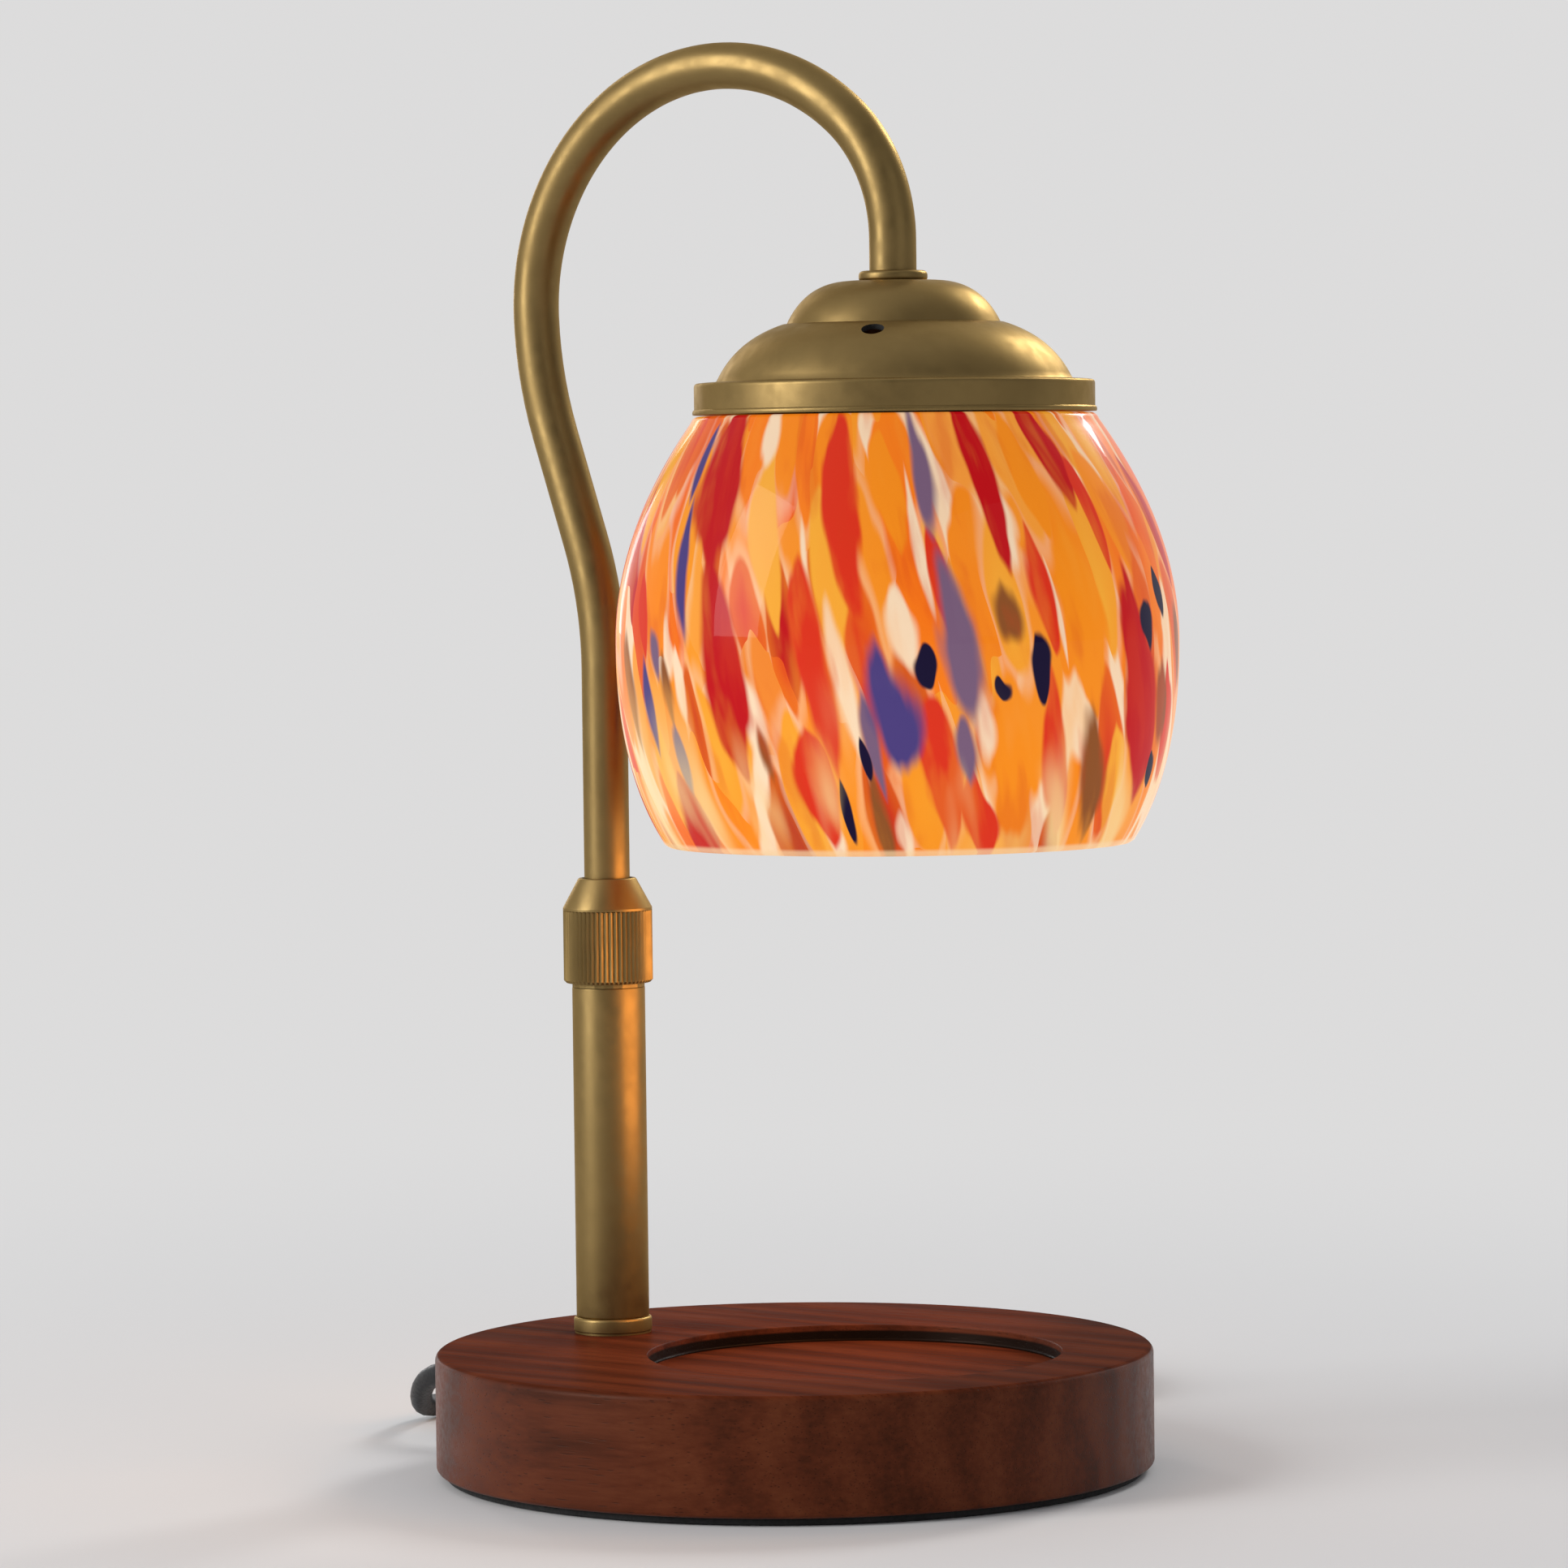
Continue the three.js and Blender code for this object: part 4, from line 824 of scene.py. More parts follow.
Row = tuple[float, float, float, float]
SPLASHES: tuple[tuple[Colour, tuple[Row, ...]], ...] = (
    (AMBER, (
        (-31, 102, 5, 20), (-15.4, 72, 4.6, 22), (-23, 41, 3.2, 16), (-57, 44, 3, 14), (-1, 50, 4, 18))),
    (GOLD, (
        (-69.2, 62.7, 3.8, 22), (-84, 55, 3, 18), (-112, 108, 2.6, 14), (-3, 106, 3, 14))),
    (CREAM, (
        (-89, 35, 2.2, 10), (-65.2, 87, 2.8, 19), (-85.3, 96, 2.6, 12), (-104, 89, 1.7, 10),
        (-50.5, 56, 1.3, 19), (-31, 54.6, 2.8, 10), (-75, 57, 1.2, 12), (-54, 75, 2.4, 10),
        (-69.6, 119, 2.4, 7), (-53.8, 118, 2.2, 8), (-21.5, 71, 1, 12), (-36.5, 97, 2, 9),
        (120, 60, 2.4, 14), (168, 70, 2.4, 16), (222, 100, 2.4, 14))),
    (RUBY, (
        (-100.5, 44, 6.2, 22), (-92.5, 85, 4.3, 27), (-35, 42, 4, 21), (-14.7, 38.4, 3.4, 16),
        (3.4, 88, 5.6, 25), (-106.3, 119, 5, 12), (21, 52, 3.4, 14), (64, 60, 5, 22),
        (140, 84, 5.4, 26), (215, 62, 4.6, 22))),
    (SCARLET, (
        (-72.2, 80.7, 4.3, 26), (-66.9, 48.3, 3.4, 25), (-72.7, 107.3, 4.2, 15), (-46, 106.2, 4, 19),
        (-7.5, 52.8, 2.2, 13), (-24.5, 67.2, 2.5, 14), (-19.7, 104, 2.9, 20), (-45.6, 66.3, 2, 14),
        (-118.5, 70.8, 2.2, 11), (-37.2, 116, 4, 9), (18, 97, 3, 13), (90, 96, 4, 20), (168, 40, 4, 18),
        (120, 110, 4, 14))),
    (UMBER, (
        (-32.9, 70.8, 3, 9), (-10.1, 107, 3.6, 17), (-59.1, 115, 2.3, 14), (-83.6, 103, 1.5, 8),
        (-108.9, 88, 2, 10), (13.5, 93, 2.4, 11), (25, 80, 3, 13), (60, 85, 2.6, 16), (150, 104, 3, 15),
        (236, 90, 2.8, 14))),
    (LILAC, (
        (-42.1, 78.9, 4, 21), (-49, 42, 2, 19), (-40.7, 102.3, 3, 9), (-60, 98, 2.2, 12),
        (100, 70, 4.6, 19), (190, 72, 5, 18), (-112.6, 80, 1.9, 8))),
    (VIOLET, (
        (-56.3, 91, 4.7, 16), (-104.2, 64.5, 2.2, 18), (-110.7, 37, 1.9, 12), (-115.9, 93, 1.9, 12),
        (-105.9, 104, 1.6, 9), (112, 90, 3.4, 12), (178, 96, 2.8, 13))),
    (INK, (
        (-49.5, 82.8, 1.9, 5), (-61.7, 102, 1.2, 5.8), (-25.9, 82, 2.2, 7), (-34.1, 87.3, 1.5, 3.6),
        (-66.4, 112, 1, 8.6), (5.1, 74.4, 2.2, 5.8), (12.6, 72.2, 2.1, 4.8), (12.3, 104, 2, 4.4),
        (196, 80, 2.2, 5.4), (70, 96, 1.8, 5.4))),
)


@dataclass(frozen=True)
class StreakedGlass(Finish):
    """Cream glass with long petals and splashes of molten colour along its height, glowing with painted light
    that stands for the bulb's light through it.

    Its streaks' coordinates are an attribute of the mesh, in which one radius,
    the reach, serves all heights, and distances down are divided by the stretch.
    """

    # The glass's emission is painted light: the bulb's light shining through it.
    glow: float = 0.8
    reach: float = 0.05
    twist: float = -3.2
    stretch: float = 5.0
    wander: float = 0.0045
    petal_edge: float = 0.035
    splash_edge: float = 1.12
    soft_core: float = 0.5
    firm_core: float = 0.8
    ragged: float = 0.2
    wander_scale: float = 110
    ragged_scale: float = 190
    drift_scale: float = 150
    cloud_scale: float = 80
    light_pool_scale: float = 75
    ripple_scale: float = 90
    ripple_depth: float = 0.0004
    # Spans down the glass: the canopy's painted shade, the painted light growing lower down, pools of painted
    # light, and the lip's painted highlight.
    covered: tuple[float, float] = (0.022, 0.028)
    brightening: tuple[float, float] = (0.03, 0.11)
    light_pooling: tuple[float, float] = (0.082, 0.12)
    lip: tuple[float, float] = (0.1225, 0.1236)

    def between(self, nodes: Nodes, down: Socket, span: tuple[float, float], to_low: float = 0,
                to_high: float = 1) -> Socket:
        """A fade between two distances down the glass."""
        low, high = (metres / self.stretch for metres in span)
        return nodes.fade(down, low, high, to_low, to_high)

    def wandering(self, nodes: Nodes, streak: Socket) -> Socket:
        """Moves the coordinates by the wander times a noise less its middle, so that no edge is straight.

        Args:
            nodes: The tree to add to.
            streak: The streaks' coordinates.

        Returns:
            The moved coordinates.
        """
        noise = nodes.add("ShaderNodeTexNoise", Vector=streak, Scale=self.wander_scale, Detail=2,
                          Roughness=0.55)
        centred = nodes.vector_math("SUBTRACT", noise.outputs["Color"], (0.5, 0.5, 0.5))
        offset = nodes.add("ShaderNodeVectorMath", {"operation": "SCALE"}, Vector=centred, Scale=self.wander)
        return nodes.vector_math("ADD", streak, offset.outputs[0])

    def lay_petals(self, nodes: Nodes, at: Socket, layer: Petals, colour: Socket) -> Socket:
        """Lays one layer of petals on a colour.

        A petal is the part of a stretched cell that lies within a size of its
        centre, in those cells whose random value is below a share. Its tone
        turns to amber towards its edge, and a thin border round it is cream.

        Args:
            nodes: The tree to add to.
            at: The streaks' coordinates.
            layer: The layer.
            colour: What lies below.

        Returns:
            The colour with the layer on it.
        """
        step, soft, size = 0.01, self.petal_edge, layer.size
        cells = nodes.add("ShaderNodeTexVoronoi", {"distance": "MINKOWSKI"}, Scale=layer.scale, Exponent=1.5,
                          Vector=nodes.place(shift=layer.shift, source=at))
        distance = cells.outputs["Distance"]
        chance = nodes.add("ShaderNodeSeparateColor", Color=cells.outputs["Color"]).outputs
        chosen = nodes.fade(chance[0], layer.share - step, layer.share + step, 1, 0)
        inside = nodes.math("MULTIPLY", chosen, nodes.fade(distance, size - soft, size + soft, 1, 0))
        border = nodes.math("MULTIPLY", chosen, nodes.fade(distance, size + soft, size + 5 * soft, 0.3, 0))
        tone = nodes.ramp(chance[1], layer.tones, "CONSTANT")
        rim = nodes.mix(nodes.fade(distance, size * 0.3, size, 0, 0.4), tone, AMBER)
        return nodes.mix(inside, nodes.mix(border, colour, CREAM), rim)

    def splashes_reach(self, nodes: Nodes, at: Socket, splashes: Iterable[Splash]) -> Socket:
        """How far out of the nearest of some splashes a point is: less than one inside.

        A splash is a spindle: the offset across it, in half widths, plus the
        square of the offset along it, in half lengths, is one at its edge. The
        least value of all the splashes counts.

        Args:
            nodes: The tree to add to.
            at: The streaks' coordinates.
            splashes: The splashes.

        Returns:
            The value.
        """
        flat = nodes.place(stretch=(1, 1, 0), source=at)
        height = nodes.up(at)
        least = None
        for splash in splashes:
            down = splash.down * MM
            turn = math.radians(splash.angle) + self.twist * down
            middle = (self.reach * math.cos(turn), self.reach * math.sin(turn), 0)
            off = nodes.vector_math("DISTANCE", flat, middle, output="Value")
            across = nodes.math("MULTIPLY", off, 1 / (splash.across * MM))
            rise = nodes.math("SUBTRACT", height, down / self.stretch)
            along = nodes.math("MULTIPLY", rise, self.stretch / (splash.along * MM))
            reach = nodes.math("ADD", across, nodes.math("POWER", along, 2.0))
            least = reach if least is None else nodes.math("MINIMUM", least, reach)
        return least

    def lay_splashes(self, nodes: Nodes, at: Socket, streak: Socket, colour: Socket) -> Socket:
        """Lays the splashes on a colour, one tone after the other, with ragged edges.

        The warm tones run into each other, and then the cool ones lie on top.

        Args:
            nodes: The tree to add to.
            at: The wandering coordinates.
            streak: The streaks' coordinates.
            colour: What lies below.

        Returns:
            The colour with the splashes on it.
        """
        fine = nodes.noise(streak, self.ragged_scale, 2)
        ragged = nodes.fade(fine, NOISE_LOW, NOISE_HIGH, -self.ragged, self.ragged)
        drift = nodes.noise(at, self.drift_scale)
        for tone, rows in SPLASHES:
            if tone == LILAC:
                colour = nodes.mix(nodes.fade(drift, 0.5, 0.68, 0, 0.25), colour, FLAME)
                colour = nodes.mix(nodes.fade(drift, 0.34, 0.48, 0.32, 0), colour, EMBER)
            splashes = [Splash(*row) for row in rows]
            reach = nodes.math("ADD", self.splashes_reach(nodes, at, splashes), ragged)
            core = self.soft_core if tone in SOFT_TONES else self.firm_core
            colour = nodes.mix(nodes.fade(reach, core, self.splash_edge, 1, 0), colour, tone)
        return colour

    def paint(self, nodes: Nodes) -> None:
        """Lays petals and splashes on cream and lights them from within with painted light.

        Pools of painted light gather near the mouth, and its lip has a paler
        painted highlight. The painted light is least where the canopy shades the glass.

        Args:
            nodes: The tree to fill.
        """
        streak = nodes.add("ShaderNodeAttribute", {"attribute_name": "streak"}).outputs["Vector"]
        at = self.wandering(nodes, streak)
        colour = nodes.ramp(nodes.noise(at, self.cloud_scale), [(0.35, PEACH), (0.6, CREAM)])
        for layer in LAYERS:
            colour = self.lay_petals(nodes, at, layer, colour)
        colour = self.lay_splashes(nodes, at, streak, colour)
        down = nodes.up(streak)
        # Pools of painted light near the mouth.
        light_pool = nodes.math("MULTIPLY", nodes.fade(nodes.noise(at, self.light_pool_scale, 2), 0.48, 0.62),
                          self.between(nodes, down, self.light_pooling, 0, 0.7))
        colour = nodes.mix(light_pool, colour, HONEY)
        # A painted highlight on the lip.
        colour = nodes.mix(self.between(nodes, down, self.lip, 0, 0.6), colour, APRICOT)
        # Painted light: none where the canopy shades the glass, growing down it.
        lit = nodes.math("MULTIPLY", self.between(nodes, down, self.covered),
                         self.between(nodes, down, self.brightening, 0.84, 1.05))
        nodes.surface(
            Base_Color=nodes.mix(0.8, colour, DARK),
            Roughness=0.3,
            Specular_IOR_Level=0.04,
            Coat_Weight=0.25,
            Coat_IOR=1.35,
            Coat_Roughness=0.03,
            Emission_Color=colour,
            Emission_Strength=nodes.math("MULTIPLY", lit, self.glow),
        )
        nodes.bump(nodes.noise(at, self.ripple_scale, 2), self.ripple_depth, 0.35)


@dataclass(frozen=True)
class Moulded(Finish):
    """Moulded plastic, rubber, ceramic or foam with a fine grain."""

    tone: Colour = (0.012, 0.012, 0.012)
    roughness: float = 0.45
    speckle: float = 0.25
    grain: float = 0.00005
    grain_scale: float = 900
    gloss: float = 0.5
    drift_scale: float = 55
    lift: float = 0.004

    def paint(self, nodes: Nodes) -> None:
        """A tone that drifts a little, with a grained gloss.

        Args:
            nodes: The tree to fill.
        """
        at = nodes.place()
        drift = nodes.noise(at, self.drift_scale, 4, 0.6)
        light = tuple(min(1.0, c * (1 + self.speckle) + self.lift) for c in self.tone)
        dark = tuple(c * (1 - self.speckle) for c in self.tone)
        fine = nodes.noise(at, self.grain_scale)
        nodes.surface(
            Base_Color=nodes.ramp(drift, [(NOISE_LOW, dark), (NOISE_HIGH, light)]),
            Roughness=nodes.fade(fine, NOISE_LOW, NOISE_HIGH, self.roughness - 0.05, self.roughness + 0.08),
            Specular_IOR_Level=self.gloss,
        )
        nodes.bump(fine, self.grain, 0.7)


@dataclass(frozen=True)
class Lit(Finish):
    """Frosted glass in front of a burning filament."""

    glow: Colour = (1.0, 0.8, 0.5)
    strength: float = 1.5
    dark: Colour = (0.55, 0.45, 0.3)
    light: Colour = (0.75, 0.64, 0.46)
    frost_scale: float = 700
    frost_depth: float = 0.00006

    def paint(self, nodes: Nodes) -> None:
        """Fine frosting with a coat of gloss over an even warm glow.

        Args:
            nodes: The tree to fill.
        """
        frost = nodes.noise(nodes.place(), self.frost_scale)
        nodes.surface(
            Base_Color=nodes.ramp(frost, [(NOISE_LOW, self.dark), (NOISE_HIGH, self.light)]),
            Roughness=nodes.fade(frost, NOISE_LOW, NOISE_HIGH, 0.08, 0.18),
            Coat_Weight=0.5,
            Emission_Color=self.glow,
            Emission_Strength=self.strength,
        )
        nodes.bump(frost, self.frost_depth, 0.5)


BRASS = SatinMetal("satin_brass")
STEEL = SatinMetal("zinc_steel", tone=(0.55, 0.55, 0.53), shade=(0.42, 0.42, 0.41), roughness=0.38,
                   metallic=1.0, edge=(1, 1, 1))
NICKEL = SatinMetal("nickel_plate", tone=(0.72, 0.69, 0.62), shade=(0.6, 0.57, 0.51), roughness=0.2,
                    metallic=1.0, grain=0.00001)
REFLECTOR = SatinMetal("bright_reflector", tone=(0.85, 0.83, 0.78), shade=(0.76, 0.74, 0.69),
                       roughness=0.12, metallic=1.0, grain=0.00003)
WALNUT = Walnut("stained_walnut")
GLASS = StreakedGlass("streaked_glass")
LENS = Lit("lit_lens")
# Black foam for the pad; the same black is painted shade on the canopy vents' walls.
FOAM_AND_VENT_SHADE = Moulded("black_foam_and_vent_shade", tone=(0.01, 0.01, 0.01), roughness=0.9, speckle=0.5, grain=0.0002,
               grain_scale=1400)
BLACK = Moulded("black_plastic", tone=(0.01, 0.01, 0.011), roughness=0.42, gloss=0.35)
SHEATH = Moulded("cord_sheath", tone=(0.007, 0.007, 0.008), roughness=0.42, speckle=0.3, grain=0.00003,
                 grain_scale=1500, gloss=0.28)
CERAMIC = Moulded("white_ceramic", tone=(0.72, 0.69, 0.62), roughness=0.5, speckle=0.06, grain=0.00004,
                  grain_scale=700)
SILICONE = Moulded("grey_silicone", tone=(0.42, 0.4, 0.36), roughness=0.65, speckle=0.08)
NYLON = Moulded("natural_nylon", tone=(0.66, 0.63, 0.56), roughness=0.5, speckle=0.06)


# Pieces.


def new_object(name: str, surface: Surface, material: bpy.types.Material | None = None) -> Piece:
    """Puts a surface into the scene.

    Args:
        name: Name of the object and its mesh.
        surface: Its points and faces.
        material: Its material, if it has one.

    Returns:
        The object.
    """
    mesh = bpy.data.meshes.new(name)
    mesh.from_pydata(surface.points.tolist(), [], surface.faces)
    if material is not None:
        mesh.materials.append(material)
    made = bpy.data.objects.new(name, mesh)
    bpy.context.scene.collection.objects.link(made)
    return made


def shade(mesh: bpy.types.Mesh, sharp: float) -> None:
    """Shades a mesh smoothly but for edges where the faces turn by more than the sharp angle."""
    mesh.polygons.foreach_set("use_smooth", np.ones(len(mesh.polygons), bool))
    mesh.set_sharp_from_angle(angle=math.radians(sharp))


def add_piece(name: str, surface: Surface, finish: Finish, body: Body,
              replaced: Iterable[str] = (), sharp: float = SHARP) -> Piece:
    """Makes a surface a piece that rides on a body.

    Args:
        name: Name of the piece.
        surface: Its points and faces, in the lamp's frame.
        finish: What it is finished in.
        body: The body it moves with.
        replaced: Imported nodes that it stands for.
        sharp: Angle between faces from which their edge stays sharp.

    Returns:
        The piece.
    """
    piece = new_object(name, surface, finish.material())
    shade(piece.data, sharp)
    piece.data.update()
    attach(piece, body.value)
    if replaced:
        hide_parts(*replaced)
    log.info("%s: %d faces on %s", name, len(piece.data.polygons), body.value)
    return piece


def carve(piece: Piece, cutters: Sequence[Surface], finish: Finish | None = None) -> None:
    """Cuts holes in a piece and shades it again.

    Args:
        piece: The piece to cut.
        cutters: Closed surfaces to take away.
        finish: Finish of the cut faces, if it isn't the piece's own.
    """
    tool = cutters[0].joined(*cutters[1:])
    cutter = new_object("cutter", tool, finish.material() if finish else None)
    modifier = piece.modifiers.new("holes", "BOOLEAN")
    modifier.operation = "DIFFERENCE"
    modifier.solver = "EXACT"
    modifier.material_mode = "TRANSFER" if finish else "INDEX"
    modifier.object = cutter
    bpy.context.view_layer.update()
    cut = bpy.data.meshes.new_from_object(piece.evaluated_get(bpy.context.evaluated_depsgraph_get()))
    piece.modifiers.clear()
    piece.data = cut
    cut.name = piece.name
    shade(cut, SHARP)
    spent = cutter.data
    bpy.data.objects.remove(cutter)
    bpy.data.meshes.remove(spent)


def seen_rays(tree: bpy.types.NodeTree) -> Socket:
    """Tells the rays that show a surface to the eye, straight, mirrored or through glass.

    Args:
        tree: The tree to add to.

    Returns:
        One for those rays and zero for all others.
    """
    path = tree.nodes.new("ShaderNodeLightPath")
    total = path.outputs["Is Camera Ray"]
    for name in ("Is Glossy Ray", "Is Transmission Ray"):
        add = tree.nodes.new("ShaderNodeMath")
        add.operation = "ADD"
        add.use_clamp = True
        tree.links.new(total, add.inputs[0])
        tree.links.new(path.outputs[name], add.inputs[1])
        total = add.outputs[0]
    return total


@dataclass(frozen=True)
class SoftBox:
    """A rectangular lamp, placed as the camera sees it: to the right of the object, behind it, and up."""

    name: str
    across: float
    back: float
    up: float
    width: float
    height: float
    watts: float
    colour: Colour = (1, 1, 1)
    aim: Point = (0, 0, 0.16)


@dataclass
class Studio:
    """Camera, floor, world and lamps."""

    azimuth: float = 36.03
    distance: float = 1.39535
    height: float = 0.21245
    pitch: float = -2.63
    roll: float = -0.7
    aim: float = 0.03
    lens: float = 149.07
    sensor: float = 36
    farthest: float = 100
    backdrop: Colour = (0.72, 0.715, 0.715)
    room: Colour = (0.13, 0.125, 0.12)
    room_radians: float = 0.6
    room_up: float = 0.1
    room_span: tuple[float, float] = (0.1, 0.8)
    daylight: Colour = (0.93, 0.95, 1.0)
    world_light: float = 0.42
    floor_tone: Colour = (0.66, 0.655, 0.65)
    floor_radius: float = 40
    floor_span: tuple[float, float] = (-0.02, -0.0002)
    floor_fade: tuple[float, float] = (0.15, 0.8)
    boxes: tuple[SoftBox, ...] = (
        SoftBox("key", across=-1.5, back=-0.6, up=0.85, width=0.7, height=1.3, watts=23),
        SoftBox("fill", across=1.2, back=-1.3, up=0.9, width=1.4, height=1.4, watts=3),
        SoftBox("rim", across=1.0, back=1.5, up=1.2, width=0.45, height=0.6, watts=17),
        SoftBox("edge", across=-0.6, back=1.37, up=0.6, width=0.14, height=0.9, watts=2),
        SoftBox("bulb_glow", across=0.045, back=0.0, up=0.11, width=0.09, height=0.1, watts=0.12,
                colour=(1.0, 0.46, 0.13), aim=(-0.05, 0, 0.1)),
    )

    def camera(self) -> None:
        """Places the camera by its compass angle, distance, height and tilt."""
        data = bpy.data.cameras.new("camera")
        data.lens = self.lens
        data.sensor_width = self.sensor
        data.clip_end = self.farthest
        camera = bpy.data.objects.new("camera", data)
        bpy.context.scene.collection.objects.link(camera)
        a = math.radians(self.azimuth)
        turn = Matrix.Rotation(a + math.radians(self.aim), 4, "Z")
        tilt = Matrix.Rotation(math.radians(90 + self.pitch), 4, "X")
        lean = Matrix.Rotation(math.radians(self.roll), 4, "Z")
        place = Matrix.Translation((math.sin(a) * self.distance, -math.cos(a) * self.distance, self.height))
        camera.matrix_world = place @ turn @ tilt @ lean
        bpy.context.scene.camera = camera

    def floor(self) -> None:
        """A wide disc that keeps the lamp's shadow and fades into the backdrop."""
        nodes = Nodes("pale_floor")
        at = nodes.add("ShaderNodeTexCoord").outputs["Object"]
        far = nodes.vector_math("LENGTH", at, output="Value")
        blend = nodes.math("MULTIPLY", nodes.fade(far, *self.floor_fade), seen_rays(nodes.tree))
        nodes.surface(Base_Color=self.floor_tone, Roughness=0.75, Specular_IOR_Level=0.2)
        glow = nodes.add("ShaderNodeEmission", Color=self.backdrop, Strength=1.0)
        mix = nodes.add("ShaderNodeMixShader")
        nodes.give(mix.inputs[0], blend)
        nodes.give(mix.inputs[1], nodes.shader.outputs[0])
        nodes.give(mix.inputs[2], glow.outputs[0])
        nodes.tree.links.new(mix.outputs[0], nodes.output.inputs["Surface"])
        floor = new_object("floor", rod(self.floor_radius, *self.floor_span, 64), nodes.material)
        floor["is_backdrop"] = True

    def world(self) -> None:
        """A dim world that lights, and a seen one: pale behind the lamp and dark on the camera's side."""
        world = bpy.data.worlds.new("studio")
        world.use_nodes = True
        bpy.context.scene.world = world
        tree = world.node_tree
        tree.nodes.clear()
        output = tree.nodes.new("ShaderNodeOutputWorld")
        lit, seen = (tree.nodes.new("ShaderNodeBackground") for _ in range(2))
        lit.inputs[0].default_value = (*self.daylight, 1)
        lit.inputs[1].default_value = self.world_light
        a = math.radians(self.azimuth) + self.room_radians
        room = tree.nodes.new("ShaderNodeVectorMath")
        room.operation = "DOT_PRODUCT"
        tree.links.new(tree.nodes.new("ShaderNodeTexCoord").outputs["Generated"], room.inputs[0])
        room.inputs[1].default_value = Vector((math.sin(a), -math.cos(a), self.room_up)).normalized()
        ramp = tree.nodes.new("ShaderNodeValToRGB")
        tones = (self.backdrop, self.room)
        for element, position, tone in zip(ramp.color_ramp.elements, self.room_span, tones):
            element.position = position
            element.color = (*tone, 1)
        tree.links.new(room.outputs["Value"], ramp.inputs[0])
        tree.links.new(ramp.outputs[0], seen.inputs[0])
        mix = tree.nodes.new("ShaderNodeMixShader")
        tree.links.new(seen_rays(tree), mix.inputs[0])
        tree.links.new(lit.outputs[0], mix.inputs[1])
        tree.links.new(seen.outputs[0], mix.inputs[2])
        tree.links.new(mix.outputs[0], output.inputs[0])

    def lamp(self, box: SoftBox) -> None:
        """Adds a soft box that the camera doesn't see.

        Args:
            box: The soft box.
        """
        data = bpy.data.lights.new(box.name, "AREA")
        data.shape = "RECTANGLE"
        data.size, data.size_y = box.width, box.height
        data.energy = box.watts
        data.color = box.colour
        light = bpy.data.objects.new(box.name, data)
        bpy.context.scene.collection.objects.link(light)
        light.visible_camera = False
        a = math.radians(self.azimuth)
        cos, sin = math.cos(a), math.sin(a)
        place = Vector((box.across * cos - box.back * sin, box.across * sin + box.back * cos, box.up))
        facing = (Vector(box.aim) - place).to_track_quat("-Z", "Y").to_matrix().to_4x4()
        light.matrix_world = Matrix.Translation(place) @ facing

    def build(self) -> None:
        """Sets the view, then the camera, the floor, the world and the lamps."""
        bpy.context.scene.view_settings.view_transform = "Standard"
        self.camera()
        self.floor()
        self.world()
        for box in self.boxes:
            self.lamp(box)


@dataclass
class Relief:
    """Ribbed strain relief where the cord leaves the base."""

    base_radius: float = 0.0775
    exit_z: float = 0.014
    gap: float = 0.0003
    shank: float = 0.0034
    shank_depth: float = 0.008
    flange: float = 0.0052
    flange_thickness: float = 0.0022
    length: float = 0.0129
    root: float = 0.0043
    tip: float = 0.0031
    ribs: int = 4
    rib_height: float = 0.0006

    def outline(self) -> Array:
        """The relief's outline along its axis.

        The tail's radius is a straight taper from root to tip, less the rib
        height, plus the rib height times 1 / (1 + exp(-9 sin w)), where w runs
        once round for each rib. So each rib is a flat land with soft flanks.

        Returns:
            Pairs of radius and distance out of the base.
        """
        z = np.linspace(0, self.length, 97)
        rib = 1 / (1 + np.exp(-9 * np.sin(2 * np.pi * z / self.length * self.ribs + 0.9)))
        taper = self.root + (self.tip - self.root) * z / self.length
        tail = np.stack([taper - self.rib_height + self.rib_height * rib, z + self.flange_thickness], 1)
        shank, flange = self.shank, self.flange
        corners = [[shank, self.gap], [flange, self.gap], [flange, self.flange_thickness], tail[0]]
        return np.vstack([
            [[shank, -self.shank_depth], [shank, self.gap]],
            smooth_edges(corners, [0, 0.0004, 0.0007, 0])[1:-1],
            tail,
        ])

    def build(self) -> Piece:
        """Turns the relief and lays it along -X.

        Returns:
            The piece.
        """
        surface = revolve(self.outline(), 40).turned(-90, "Y").moved(-self.base_radius, 0, self.exit_z)
        return add_piece("relief_sleeve", surface, SHEATH, Body.BASE, ("strain_relief",))


